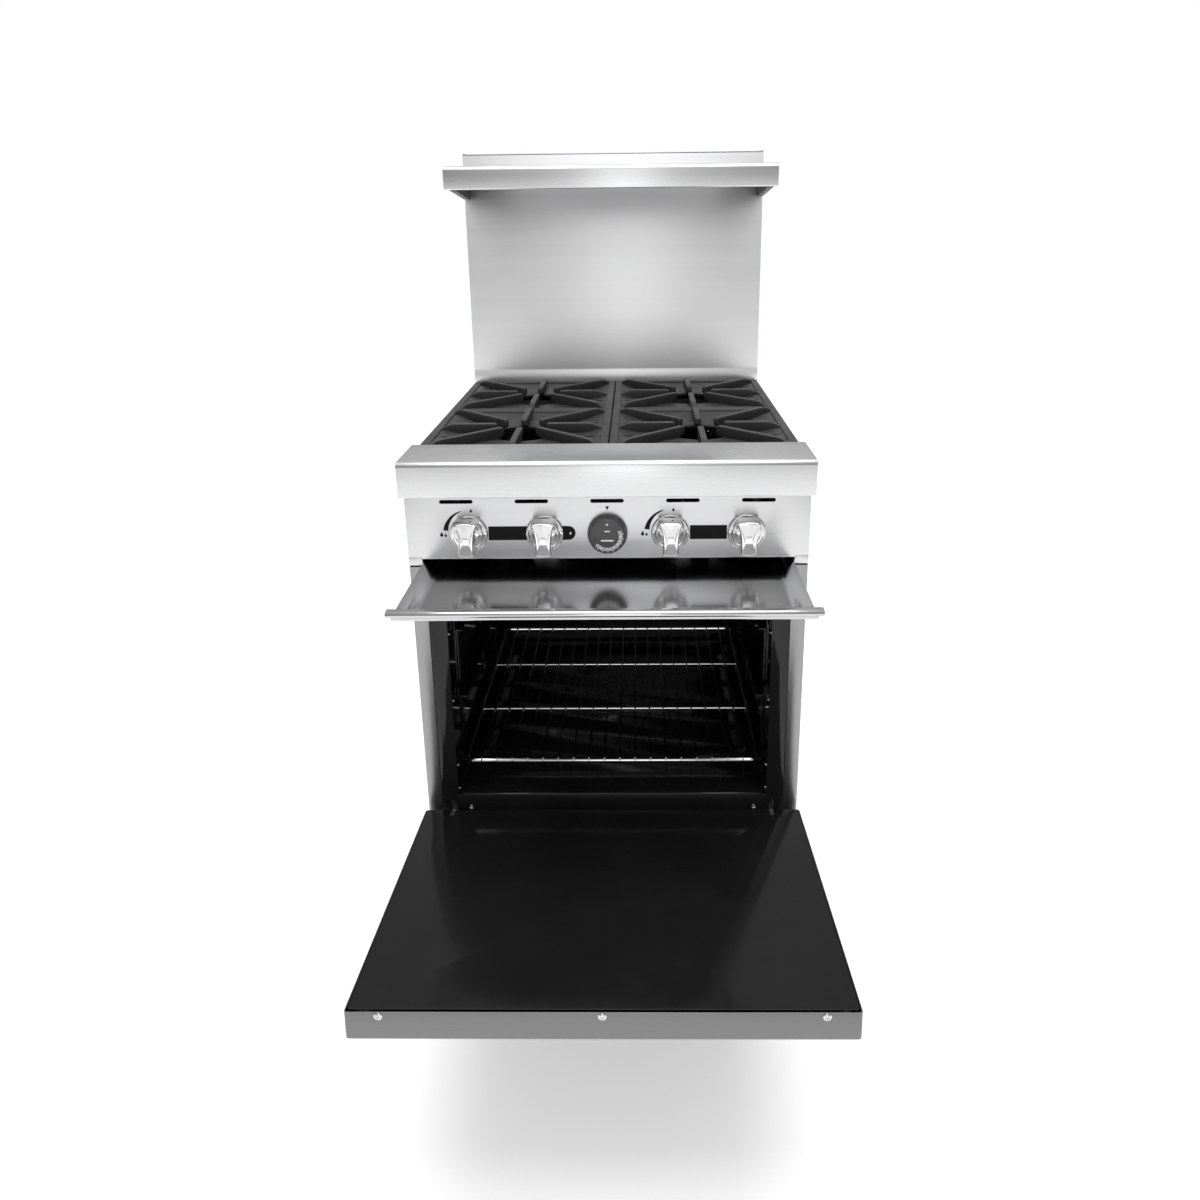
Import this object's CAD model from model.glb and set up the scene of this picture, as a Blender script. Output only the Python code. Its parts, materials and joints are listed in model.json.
"""The looks of a commercial gas range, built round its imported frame.

Each sub-assembly of the range is a class that reads its place from the frame, models its own pieces with
Blender's operators and dresses them. All sizes are metres. +Z is up and the front of the range faces -Y.
"""

import json
import logging
import math
from collections.abc import Callable, Iterable, Iterator, Sequence
from contextlib import contextmanager
from dataclasses import dataclass
from enum import Enum, StrEnum
from itertools import pairwise

import bmesh
import bpy
from mathutils import Matrix, Vector


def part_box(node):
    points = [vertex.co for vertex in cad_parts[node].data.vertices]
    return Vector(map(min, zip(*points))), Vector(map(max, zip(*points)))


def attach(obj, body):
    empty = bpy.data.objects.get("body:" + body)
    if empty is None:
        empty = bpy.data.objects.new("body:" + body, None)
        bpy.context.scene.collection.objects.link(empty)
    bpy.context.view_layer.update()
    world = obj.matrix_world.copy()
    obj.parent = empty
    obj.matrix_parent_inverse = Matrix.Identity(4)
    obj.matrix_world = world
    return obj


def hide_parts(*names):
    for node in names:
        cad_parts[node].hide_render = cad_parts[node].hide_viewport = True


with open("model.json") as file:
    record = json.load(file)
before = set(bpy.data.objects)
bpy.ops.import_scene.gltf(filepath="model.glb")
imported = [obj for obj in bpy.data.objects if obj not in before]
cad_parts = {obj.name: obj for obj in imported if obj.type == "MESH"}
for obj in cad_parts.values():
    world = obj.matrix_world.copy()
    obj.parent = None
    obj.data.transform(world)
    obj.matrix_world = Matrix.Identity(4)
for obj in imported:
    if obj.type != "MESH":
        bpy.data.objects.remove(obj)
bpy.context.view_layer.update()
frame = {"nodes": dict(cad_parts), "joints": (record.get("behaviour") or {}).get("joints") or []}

LOG = logging.getLogger("gas_range")
Triple = tuple[float, float, float]
MeshItem = bmesh.types.BMVert | bmesh.types.BMEdge | bmesh.types.BMFace
FULL_TURN = 2 * math.pi
SHEET = 0.0015
REVEAL = 0.0003
CORNERS = ("front_left", "front_right", "rear_left", "rear_right")


class Body(StrEnum):
    """The moving bodies that carry more than one piece."""

    RANGE = "range_body"
    DOOR = "oven_door"
    TRAY = "crumb_tray"
    RACK = "oven_rack"


class Slot(StrEnum):
    """The record's material slots."""

    STAINLESS = "stainless"
    GALVANISED = "galvanised"
    ENAMEL = "enamel"
    CAST_IRON = "cast_iron"
    BLACK_PAINT = "black_paint"
    CHROME = "chrome"
    BRASS = "brass"
    DIAL = "dial"
    WOOL = "mineral_wool"


class Pick(StrEnum):
    """What an edit-mode selection is made of."""

    POINTS = "VERT"
    EDGES = "EDGE"
    FACES = "FACE"


# ---- Bench work ----


def deselect_all() -> None:
    """Leaves nothing selected in object mode."""
    bpy.ops.object.select_all(action="DESELECT")


def activate(obj: bpy.types.Object) -> None:
    """Makes one object the only selected one, and the active one.

    Args:
        obj: the object to work on.
    """
    deselect_all()
    obj.select_set(True)
    bpy.context.view_layer.objects.active = obj


@contextmanager
def editing(obj: bpy.types.Object) -> Iterator[None]:
    """Opens an object in edit mode with everything in it selected.

    Args:
        obj: the mesh object to open.

    Returns:
        A context in which the object is in edit mode.
    """
    activate(obj)
    bpy.ops.object.mode_set(mode="EDIT")
    bpy.ops.mesh.select_mode(type=Pick.POINTS)
    bpy.ops.mesh.select_all(action="SELECT")
    yield
    bpy.ops.object.mode_set(mode="OBJECT")


def middle_and_normal(item: MeshItem) -> tuple[Vector, Vector]:
    """The middle of a point, edge or face, and its normal (an edge gives its direction).

    Args:
        item: a point, an edge or a face.

    Returns:
        Its middle and its normal or direction.
    """
    if isinstance(item, bmesh.types.BMVert):
        return item.co, item.normal
    if isinstance(item, bmesh.types.BMEdge):
        start, end = item.verts[0].co, item.verts[1].co
        return (start + end) / 2, (end - start).normalized()
    return item.calc_center_median(), item.normal


class Stock:
    """One mesh on the bench. It starts as a primitive or a drawn line and is shaped by operators."""

    def __init__(self, obj: bpy.types.Object, name: str) -> None:
        """Takes over an object that an operator has just added.

        Args:
            obj: the new object.
            name: the name of the finished piece.
        """
        self.obj = obj
        obj.name = name
        obj.data.name = name
        self.settle()

    def settle(self) -> None:
        """Moves the object's place, turn and size into its mesh."""
        activate(self.obj)
        bpy.ops.object.transform_apply(location=True, rotation=True, scale=True)

    @classmethod
    def block(cls, name: str, low: Sequence[float], high: Sequence[float]) -> "Stock":
        """A block between two corners.

        Args:
            name: the name of the piece.
            low: the corner with the lowest coordinates.
            high: the opposite corner.

        Returns:
            The block.
        """
        deselect_all()
        centre = (Vector(low) + Vector(high)) / 2
        bpy.ops.mesh.primitive_cube_add(size=1, location=centre)
        bpy.context.object.scale = Vector(high) - Vector(low)
        return cls(bpy.context.object, name)

    @classmethod
    def rod(cls, name: str, start: Sequence[float], end: Sequence[float], radius: float,
            sides: int = 24) -> "Stock":
        """A round bar between two points.

        Args:
            name: the name of the piece.
            start: the middle of one end.
            end: the middle of the other end.
            radius: the radius.
            sides: the flat sides that make it round.

        Returns:
            The rod.
        """
        deselect_all()
        along = Vector(end) - Vector(start)
        bpy.ops.mesh.primitive_cylinder_add(
            vertices=sides, radius=radius, depth=along.length, location=(Vector(start) + Vector(end)) / 2,
            rotation=along.to_track_quat("Z", "Y").to_euler(),
        )
        return cls(bpy.context.object, name)

    @classmethod
    def line(cls, name: str, points: Sequence[Sequence[float]], radii: dict[int, float] | None = None,
             closed: bool = False, segments: int = 6) -> "Stock":
        """A line drawn from point to point by extruding a vertex, with some of its corners rounded.

        Args:
            name: the name of the piece.
            points: the corners of the line.
            radii: how far back each rounded corner starts, by its number in points.
            closed: whether the last point joins the first.
            segments: the steps in each rounded corner.

        Returns:
            The line, as a mesh of edges.
        """
        deselect_all()
        corners = [Vector(point) for point in points]
        bpy.ops.mesh.primitive_plane_add(size=0.001, location=(0, 0, 0))
        stock = cls(bpy.context.object, name)
        with editing(stock.obj):
            bpy.ops.mesh.merge(type="CENTER")
            bpy.ops.transform.translate(value=corners[0])
            for here, there in pairwise(corners):
                bpy.ops.mesh.extrude_region_move(TRANSFORM_OT_translate={"value": there - here})
            if closed:
                ends = (corners[0], corners[-1])
                stock.select(Pick.POINTS, lambda at, _: any((at - end).length < 1e-6 for end in ends))
                bpy.ops.mesh.edge_face_add()
            for number, radius in (radii or {}).items():
                stock.select(Pick.POINTS, lambda at, _: (at - corners[number]).length < 1e-6)
                bpy.ops.mesh.bevel(affect="VERTICES", offset=radius, segments=segments)
        return stock

    @classmethod
    def turned(cls, name: str, profile: Sequence[tuple[float, float]], centre: Sequence[float],
               axis: Sequence[float], steps: int = 48, radii: dict[int, float] | None = None,
               closed: bool = False) -> "Stock":
        """A turned piece: a line of (radius, distance along the axis) points spun once round the axis.

        Args:
            name: the name of the piece.
            profile: the line, which starts and ends on the axis or closes on itself.
            centre: the point where the distance along the axis is nought.
            axis: the direction of the axis.
            steps: the steps of the spin.
            radii: how far back each rounded corner starts, by its number in profile.
            closed: whether the profile closes on itself, clear of the axis.

        Returns:
            The closed turned piece.
        """
        direction = Vector(axis).normalized()
        outward = direction.orthogonal().normalized()
        base = Vector(centre)
        points = [base + outward * radius + direction * height for radius, height in profile]
        stock = cls.line(name, points, radii, closed, segments=3)
        with editing(stock.obj):
            bpy.ops.mesh.spin(steps=steps, angle=FULL_TURN, center=base, axis=direction)
            bpy.ops.mesh.select_all(action="SELECT")
            bpy.ops.mesh.remove_doubles(threshold=1e-6)
            bpy.ops.mesh.normals_make_consistent(inside=False)
        return stock

    def select(self, kind: Pick, test: Callable[[Vector, Vector], bool]) -> None:
        """Selects, in edit mode, what passes a test on its middle and its normal.

        Args:
            kind: what to select.
            test: whether to select an item, from its middle and its normal.
        """
        bpy.ops.mesh.select_mode(type=kind)
        bpy.ops.mesh.select_all(action="DESELECT")
        mesh = bmesh.from_edit_mesh(self.obj.data)
        items = {Pick.POINTS: mesh.verts, Pick.EDGES: mesh.edges, Pick.FACES: mesh.faces}[kind]
        for item in items:
            if test(*middle_and_normal(item)):
                item.select_set(True)
        bmesh.update_edit_mesh(self.obj.data)

    def push(self, by: Sequence[float]) -> "Stock":
        """Extrudes the whole mesh: a line into a sheet, or a face into a solid.

        Args:
            by: the way and the length of the extrusion.

        Returns:
            This piece.
        """
        with editing(self.obj):
            bpy.ops.mesh.extrude_region_move(TRANSFORM_OT_translate={"value": Vector(by)})
            bpy.ops.mesh.select_all(action="SELECT")
            bpy.ops.mesh.normals_make_consistent(inside=False)
        return self

    def fill(self) -> "Stock":
        """Fills a closed line with one face.

        Returns:
            This piece.
        """
        with editing(self.obj):
            bpy.ops.mesh.edge_face_add()
        return self

    def delete_faces(self, test: Callable[[Vector, Vector], bool]) -> "Stock":
        """Removes the faces that pass a test.

        Args:
            test: whether to remove a face, from its middle and its normal.

        Returns:
            This piece.
        """
        with editing(self.obj):
            self.select(Pick.FACES, test)
            bpy.ops.mesh.delete(type="FACE")
        return self

    def round_edges(self, test: Callable[[Vector, Vector], bool], width: float, segments: int = 4) -> "Stock":
        """Rounds the edges whose middle and direction pass a test.

        Args:
            test: whether to round an edge, from its middle and its direction.
            width: how far back the rounding starts.
            segments: the steps in the rounding.

        Returns:
            This piece.
        """
        with editing(self.obj):
            self.select(Pick.EDGES, test)
            bpy.ops.mesh.bevel(affect="EDGES", offset=width, segments=segments)
        return self

    def modify(self, kind: str, **settings: object) -> "Stock":
        """Adds one modifier and applies it.

        Args:
            kind: the modifier's type.
            settings: its settings by name.

        Returns:
            This piece.
        """
        activate(self.obj)
        modifier = self.obj.modifiers.new(kind.title(), kind)
        for key, value in settings.items():
            setattr(modifier, key, value)
        bpy.ops.object.modifier_apply(modifier=modifier.name)
        return self

    def centroid(self) -> Vector:
        """The mean of the mesh's points."""
        total = sum((vertex.co for vertex in self.obj.data.vertices), Vector())
        return total / len(self.obj.data.vertices)

    def thicken(self, thickness: float, inward: Sequence[float]) -> "Stock":
        """Gives a sheet its thickness, on the side that an inward direction names.

        Args:
            thickness: the thickness of the metal.
            inward: roughly the way into the metal.

        Returns:
            This piece.
        """
        flat = self.obj.data.copy()
        before = self.centroid()
        self.modify("SOLIDIFY", thickness=thickness, offset=-1, use_even_offset=True)
        if (self.centroid() - before).dot(Vector(inward)) < 0:
            self.obj.data = flat
            self.modify("SOLIDIFY", thickness=thickness, offset=1, use_even_offset=True)
        return self

    def soften(self, width: float, segments: int = 2, angle: float = 35) -> "Stock":
        """Rounds every edge sharper than an angle in degrees.

        Args:
            width: the width of the rounding.
            segments: the steps in the rounding.
            angle: the smallest angle that is rounded.

        Returns:
            This piece.
        """
        return self.modify(
            "BEVEL", width=width, segments=segments, limit_method="ANGLE", angle_limit=math.radians(angle),
            use_clamp_overlap=True,
        )

    def combine(self, other: "Stock", operation: str) -> "Stock":
        """Joins another closed piece on, or cuts it away, and uses that piece up.

        Args:
            other: the other piece.
            operation: the name of the boolean operation.

        Returns:
            This piece.
        """
        self.modify("BOOLEAN", operation=operation, object=other.obj, solver="EXACT")
        bpy.data.objects.remove(other.obj)
        return self

    def cut(self, *tools: "Stock") -> "Stock":
        """Cuts other closed pieces out of this one.

        Args:
            tools: the pieces to cut away.

        Returns:
            This piece.
        """
        if len(tools) > 1:
            tools[0].gather(tools[1:])
        return self.combine(tools[0], "DIFFERENCE")

    def gather(self, others: Iterable["Stock"]) -> "Stock":
        """Takes other pieces into this one's mesh as they are.

        Args:
            others: the pieces to take in.

        Returns:
            This piece.
        """
        activate(self.obj)
        for other in others:
            other.obj.select_set(True)
        bpy.ops.object.join()
        return self

    def turn(self, degrees: float, axis: str, centre: Sequence[float]) -> "Stock":
        """Turns the piece about a main axis through a point, by the right-hand rule.

        Args:
            degrees: how far it turns.
            axis: the name of the main axis.
            centre: a point on the axis.

        Returns:
            This piece.
        """
        spin = Matrix.Rotation(math.radians(degrees), 4, axis)
        place = Matrix.Translation(Vector(centre))
        self.obj.matrix_world = place @ spin @ place.inverted() @ self.obj.matrix_world
        self.settle()
        return self

    def shift(self, by: Sequence[float]) -> "Stock":
        """Moves the piece.

        Args:
            by: the distance on each axis.

        Returns:
            This piece.
        """
        self.obj.location = Vector(by)
        self.settle()
        return self

    def copy(self, name: str, by: Sequence[float] = (0, 0, 0)) -> "Stock":
        """A copy with a mesh of its own, moved by a distance.

        Args:
            name: the name of the copy.
            by: how far the copy is moved.

        Returns:
            The copy.
        """
        twin = self.obj.copy()
        twin.data = self.obj.data.copy()
        bpy.context.scene.collection.objects.link(twin)
        return Stock(twin, name).shift(by)

    def mirrored(self, name: str) -> "Stock":
        """The same piece on the other side of the middle plane.

        Args:
            name: the name of the mirrored piece.

        Returns:
            The mirrored piece.
        """
        twin = self.copy(name)
        twin.obj.scale.x = -1
        twin.settle()
        with editing(twin.obj):
            bpy.ops.mesh.normals_make_consistent(inside=False)
        return twin

    def wire(self, radius: float, resolution: int = 2) -> "Stock":
        """Turns a drawn line into a round wire with flat ends.

        Args:
            radius: the radius of the wire.
            resolution: how finely it is rounded.

        Returns:
            This piece.
        """
        activate(self.obj)
        bpy.ops.object.convert(target="CURVE")
        curve = bpy.context.object.data
        curve.bevel_depth = radius
        curve.bevel_resolution = resolution
        curve.use_fill_caps = True
        bpy.ops.object.convert(target="MESH")
        self.obj = bpy.context.object
        with editing(self.obj):
            bpy.ops.mesh.remove_doubles(threshold=1e-6)
            bpy.ops.mesh.normals_make_consistent(inside=False)
        return self

    def fit(self, body: str, slot: Slot, look: "Finish", replaces: Sequence[str] = ()) -> bpy.types.Object:
        """Finishes the piece: smooth shading, its material, its body and the CAD nodes that it stands for.

        Args:
            body: the body that carries it.
            slot: the record's slot that its finish belongs to.
            look: the finish.
            replaces: the CAD nodes that it takes the place of.

        Returns:
            The finished object.
        """
        activate(self.obj)
        bpy.ops.object.shade_smooth_by_angle(angle=math.radians(32))
        self.obj.data.materials.clear()
        self.obj.data.materials.append(look.material())
        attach(self.obj, str(body))
        if replaces:
            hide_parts(*replaces)
        LOG.info("%s: %d faces on %s", self.obj.name, len(self.obj.data.polygons), body)
        return self.obj


def folded(name: str, points: Sequence[Sequence[float]], run: Sequence[float], inward: Sequence[float],
           radii: dict[int, float] | None = None, thickness: float = SHEET, soft: float = 0.0003) -> Stock:
    """A folded sheet: a profile drawn on its outer face, run to its length, then given its thickness.

    Args:
        name: the name of the piece.
        points: the profile's corners.
        run: from the profile to its copy at the other end.
        inward: roughly the way from the outer face into the metal.
        radii: the fold radius at each corner, by its number in points.
        thickness: the thickness of the metal.
        soft: the width of the rounding on the sheet's cut edges, or 0 for none.

    Returns:
        The folded sheet.
    """
    sheet = Stock.line(name, points, radii, segments=5).push(run).thicken(thickness, inward)
    return sheet.soften(soft) if soft else sheet


def plate(name: str, outline: Sequence[Sequence[float]], run: Sequence[float],
          radii: dict[int, float] | None = None,
          soft: float = 0.0) -> Stock:
    """A solid with one outline all through it, drawn, filled and pushed to its thickness."""
    solid = Stock.line(name, outline, radii, closed=True).fill().push(run)
    return solid.soften(soft) if soft else solid


# ---- Finishes ----


class Signal:
    """A number on its way between shader nodes. Sums on it add Math nodes."""

    def __init__(self, desk: "ShaderDesk", socket: bpy.types.NodeSocket) -> None:
        """Wraps the socket that the number comes out of."""
        self.desk = desk
        self.socket = socket

    def _maths(self, operation: str, first: "Signal | float", second: "Signal | float") -> "Signal":
        """One Math node on two numbers."""
        return self.desk.add("ShaderNodeMath", {"operation": operation}, {0: first, 1: second}).out("Value")

    def __add__(self, other: "Signal | float") -> "Signal":
        """self + other."""
        return self._maths("ADD", self, other)

    def __radd__(self, other: float) -> "Signal":
        """other + self."""
        return self._maths("ADD", other, self)

    def __sub__(self, other: "Signal | float") -> "Signal":
        """self - other."""
        return self._maths("SUBTRACT", self, other)

    def __rsub__(self, other: float) -> "Signal":
        """other - self."""
        return self._maths("SUBTRACT", other, self)

    def __mul__(self, other: "Signal | float") -> "Signal":
        """self * other."""
        return self._maths("MULTIPLY", self, other)

    def __rmul__(self, other: float) -> "Signal":
        """other * self."""
        return self._maths("MULTIPLY", other, self)

    def __truediv__(self, other: "Signal | float") -> "Signal":
        """self / other."""
        return self._maths("DIVIDE", self, other)

    def held(self) -> "Signal":
        """The number kept between 0 and 1."""
        return self.desk.add("ShaderNodeClamp", {}, {"Value": self}).out("Result")


class Placed:
    """A node that is already on the desk."""

    def __init__(self, desk: "ShaderDesk", node: bpy.types.Node) -> None:
        """Keeps the node with its desk."""
        self.desk = desk
        self.node = node

    def out(self, name: str) -> Signal:
        """One of the node's outputs."""
        return Signal(self.desk, self.node.outputs[name])


def new_material(name: str) -> bpy.types.Material:
    """A material with nodes, which starts with a Principled shader."""
    material = bpy.data.materials.new(name)
    material.use_nodes = True
    return material


class ShaderDesk:
    """The nodes of one material or of the world, and the material's main shader."""

    def __init__(self, tree: bpy.types.NodeTree) -> None:
        """Works on a tree of nodes."""
        self.tree = tree
        self.shader = next((node for node in tree.nodes if node.type == "BSDF_PRINCIPLED"), None)

    def add(self, kind: str, settings: dict[str, object], sockets: dict[str | int, object]) -> Placed:
        """Adds one node.

        Args:
            kind: the node's type.
            settings: its properties, and "stops" for the stops of a colour ramp.
            sockets: the value or the Signal of each input, by name or number.

        Returns:
            The node, on this desk.
        """
        node = self.tree.nodes.new(kind)
        for key, value in settings.items():
            if key == "stops":
                self._set_stops(node.color_ramp, value)
            else:
                setattr(node, key, value)
        for key, value in sockets.items():
            self.connect(node.inputs[key], value)
        return Placed(self, node)

    def _set_stops(self, ramp: bpy.types.ColorRamp, stops: Sequence[tuple[float, float]]) -> None:
        """Gives a ramp its grey stops, as (place, brightness) pairs.

        Args:
            ramp: the ramp.
            stops: its stops in order.
        """
        while len(ramp.elements) < len(stops):
            ramp.elements.new(0.5)
        for element, (place, shade) in zip(ramp.elements, stops):
            element.position = place
            element.color = (shade, shade, shade, 1)

    def connect(self, socket: bpy.types.NodeSocket, value: object) -> None:
        """Sets a socket to a value, or links a Signal to it.

        Args:
            socket: the input.
            value: a Signal, or a plain value.
        """
        if isinstance(value, Signal):
            self.tree.links.new(value.socket, socket)
        else:
            socket.default_value = value

    def set(self, name: str, value: object) -> None:
        """Sets or links one socket of the main shader."""
        self.connect(self.shader.inputs[name], value)

    def place(self, scale: Triple = (1, 1, 1)) -> Signal:
        """The point on the piece in metres, stretched by a scale on each axis."""
        here = self.add("ShaderNodeTexCoord", {}, {}).out("Object")
        return self.add("ShaderNodeMapping", {}, {"Vector": here, "Scale": scale}).out("Vector")

    def noise(self, where: Signal, scale: float, detail: float = 4, roughness: float = 0.55) -> Signal:
        """Noise between 0 and 1, about 0.5 in the middle."""
        sockets = {"Vector": where, "Scale": scale, "Detail": detail, "Roughness": roughness}
        return self.add("ShaderNodeTexNoise", {}, sockets).out("Fac")

    def blend(self, amount: Signal, dark: Triple, light: Triple) -> Signal:
        """A colour between two colours.

        Args:
            amount: 0 for the first colour and 1 for the second.
            dark: the first colour.
            light: the second colour.

        Returns:
            The mixed colour.
        """
        sockets = {0: amount, 6: (*dark, 1), 7: (*light, 1)}
        mix = self.add("ShaderNodeMix", {"data_type": "RGBA"}, sockets)
        return Signal(self, mix.node.outputs[2])

    def bump(self, height: Signal, strength: float, distance: float) -> None:
        """Raises the main shader's surface by a height."""
        sockets = {"Height": height, "Strength": strength, "Distance": distance}
        self.set("Normal", self.add("ShaderNodeBump", {}, sockets).out("Normal"))


class Grain(Enum):
    """Which way the lines of a brushed sheet run, as the stretch of its noise."""

    ACROSS = (1.2, 900.0, 900.0)
    UP = (900.0, 900.0, 1.2)


@dataclass(frozen=True)
class Finish:
    """A named finish. Its material is made once and shared."""

    name: str

    def material(self) -> bpy.types.Material:
        """The finish's material, made when it is first asked for.

        Returns:
            The material.
        """
        known = bpy.data.materials.get(self.name)
        if known is not None:
            return known
        material = new_material(self.name)
        self.dress(ShaderDesk(material.node_tree))
        return material

    def dress(self, desk: ShaderDesk) -> None:
        """Sets up the shader."""
        raise NotImplementedError


@dataclass(frozen=True)
class BrushedSteel(Finish):
    """Stainless sheet with fine straight lines, faint broad streaks and a few soft smudges."""

    shade: float = 0.62
    roughness: float = 0.27
    grain: Grain = Grain.ACROSS
    line_height: float = 0.00006

    def dress(self, desk: ShaderDesk) -> None:
        """Lines from stretched noise, in the colour, the roughness and the height.

        Args:
            desk: the nodes of the new material.
        """
        lines = desk.noise(desk.place(self.grain.value), 1.0, 5, 0.7)
        broad_stretch = tuple(step / 14 if step > 2 else step / 2 for step in self.grain.value)
        streaks = desk.noise(desk.place(broad_stretch), 1.0, 3)
        smudges = desk.noise(desk.place(), 5.0, 3)
        tone = (lines * 0.5 + streaks * 0.5).held()
        darker = tuple(self.shade * k for k in (0.92, 0.924, 0.93))
        lighter = tuple(min(1.0, self.shade * k) for k in (1.06, 1.065, 1.07))
        desk.set("Base Color", desk.blend(tone, darker, lighter))
        desk.set("Metallic", 1.0)
        rough = (lines - 0.5) * 0.14 + (streaks - 0.5) * 0.05 + (smudges - 0.5) * 0.08 + self.roughness
        desk.set("Roughness", rough)
        desk.bump(lines, 0.35, self.line_height)


@dataclass(frozen=True)
class Enamel(Finish):
    """Black porcelain enamel: glossy, with a faint orange peel and a few pale specks."""

    shade: float = 0.006
    roughness: float = 0.09
    gloss: float = 0.3

    def dress(self, desk: ShaderDesk) -> None:
        """Near-black with a soft ripple.

        Args:
            desk: the nodes of the new material.
        """
        ripple = desk.noise(desk.place(), 90.0, 2)
        haze = desk.noise(desk.place(), 9.0, 3)
        specks = desk.add("ShaderNodeTexVoronoi", {},
                          {"Vector": desk.place(), "Scale": 260.0}).out("Distance")
        speck = (1 - specks * 9).held()
        tone = (haze * 0.6 + speck * 0.5).held()
        light = tuple(self.shade * 3.4 for _ in range(3))
        desk.set("Base Color", desk.blend(tone, (self.shade, self.shade, self.shade), light))
        desk.set("Roughness", (haze - 0.5) * 0.07 + self.roughness)
        desk.set("Specular IOR Level", self.gloss)
        desk.bump(ripple, 0.1, 0.0004)


@dataclass(frozen=True)
class CastIron(Finish):
    """Seasoned cast iron: a fine sand texture, paler where pans rub the tops."""

    rub_height: float = 0.912
    shade: float = 0.028

    def dress(self, desk: ShaderDesk) -> None:
        """Sand in the height, oil in the roughness, wear near the rub height.

        Args:
            desk: the nodes of the new material.
        """
        sand = desk.noise(desk.place(), 700.0, 4, 0.7)
        lumps = desk.noise(desk.place(), 60.0, 3)
        oil = desk.noise(desk.place(), 14.0, 3)
        split = desk.add("ShaderNodeSeparateXYZ", {}, {"Vector": desk.place()}).out("Z")
        wear = ((split - self.rub_height) * 400).held() * (sand + 0.1)
        tone = (lumps * 0.35 + sand * 0.25 + wear * 0.8).held()
        base = (self.shade, self.shade, self.shade)
        worn = tuple(self.shade * 4.2 for _ in range(3))
        desk.set("Base Color", desk.blend(tone, base, worn))
        desk.set("Specular IOR Level", 0.35)
        desk.set("Roughness", (oil - 0.5) * 0.3 + (sand - 0.5) * 0.15 + 0.52)
        desk.bump(sand * 0.6 + lumps * 0.8, 0.55, 0.0006)


@dataclass(frozen=True)
class Plating(Finish):
    """Bright plate on wire, knobs and legs, with hairline marks."""

    shade: float = 0.78
    roughness: float = 0.08

    def dress(self, desk: ShaderDesk) -> None:
        """Bright metal with a little haze.

        Args:
            desk: the nodes of the new material.
        """
        haze = desk.noise(desk.place(), 30.0, 4)
        hairs = desk.noise(desk.place((60.0, 900.0, 200.0)), 1.0, 2)
        dark = tuple(self.shade * 0.88 for _ in range(3))
        light = tuple(min(1.0, self.shade * 1.08) for _ in range(3))
        desk.set("Base Color", desk.blend(haze, dark, light))
        desk.set("Metallic", 1.0)
        desk.set("Roughness", (haze - 0.4) * 0.1 + (hairs - 0.5) * 0.05 + self.roughness)
        desk.bump(haze, 0.05, 0.0002)


@dataclass(frozen=True)
class Galvanised(Finish):
    """Zinc sheet with its spangle."""

    shade: float = 0.5

    def dress(self, desk: ShaderDesk) -> None:
        """Crystals of slightly different grey and gloss.

        Args:
            desk: the nodes of the new material.
        """
        ripple = desk.noise(desk.place(), 40.0, 3)
        cells = desk.add("ShaderNodeTexVoronoi", {}, {"Vector": desk.place(), "Scale": 75.0})
        crystal = desk.add("ShaderNodeSeparateColor", {}, {"Color": cells.out("Color")}).out("Red")
        tone = (crystal * 0.6 + ripple * 0.4).held()
        dark = tuple(self.shade * k for k in (0.72, 0.74, 0.77))
        light = tuple(self.shade * k for k in (1.15, 1.17, 1.2))
        desk.set("Base Color", desk.blend(tone, dark, light))
        desk.set("Metallic", 0.95)
        desk.set("Roughness", (crystal - 0.5) * 0.16 + (ripple - 0.5) * 0.1 + 0.42)
        desk.bump(ripple, 0.08, 0.0005)


@dataclass(frozen=True)
class Brass(Finish):
    """Turned brass, a little tarnished."""

    def dress(self, desk: ShaderDesk) -> None:
        """Yellow metal with brown tarnish.

        Args:
            desk: the nodes of the new material.
        """
        tarnish = desk.noise(desk.place(), 70.0, 4)
        rings = desk.noise(desk.place((40.0, 1500.0, 40.0)), 1.0, 2)
        desk.set("Base Color", desk.blend(tarnish, (0.36, 0.24, 0.09), (0.78, 0.57, 0.26)))
        desk.set("Metallic", 1.0)
        desk.set("Roughness", (tarnish - 0.5) * 0.25 + 0.3)
        desk.bump(rings, 0.15, 0.0002)


@dataclass(frozen=True)
class Paint(Finish):
    """Satin paint or a moulded surface in one colour."""

    colour: Triple = (0.012, 0.012, 0.012)
    roughness: float = 0.42
    texture_scale: float = 500.0
    gloss: float = 0.4

    def dress(self, desk: ShaderDesk) -> None:
        """The colour, with a fine uneven gloss.

        Args:
            desk: the nodes of the new material.
        """
        fine = desk.noise(desk.place(), self.texture_scale, 3)
        broad = desk.noise(desk.place(), 25.0, 3)
        dark = tuple(part * 0.75 for part in self.colour)
        light = tuple(min(1.0, part * 1.3 + 0.002) for part in self.colour)
        desk.set("Base Color", desk.blend((fine * 0.5 + broad * 0.5).held(), dark, light))
        desk.set("Roughness", (fine - 0.5) * 0.12 + (broad - 0.5) * 0.12 + self.roughness)
        desk.set("Specular IOR Level", self.gloss)
        desk.bump(fine, 0.12, 0.0002)


@dataclass(frozen=True)
class MineralWool(Finish):
    """Pressed fibre batt."""

    def dress(self, desk: ShaderDesk) -> None:
        """Matted fibres.

        Args:
            desk: the nodes of the new material.
        """
        fibres = desk.noise(desk.place((220.0, 60.0, 900.0)), 1.0, 6, 0.75)
        clumps = desk.noise(desk.place(), 22.0, 4)
        tone = (fibres * 0.6 + clumps * 0.4).held()
        desk.set("Base Color", desk.blend(tone, (0.24, 0.19, 0.09), (0.62, 0.55, 0.36)))
        desk.set("Roughness", (clumps - 0.5) * 0.1 + 0.92)
        desk.bump(fibres, 0.9, 0.002)


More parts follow.
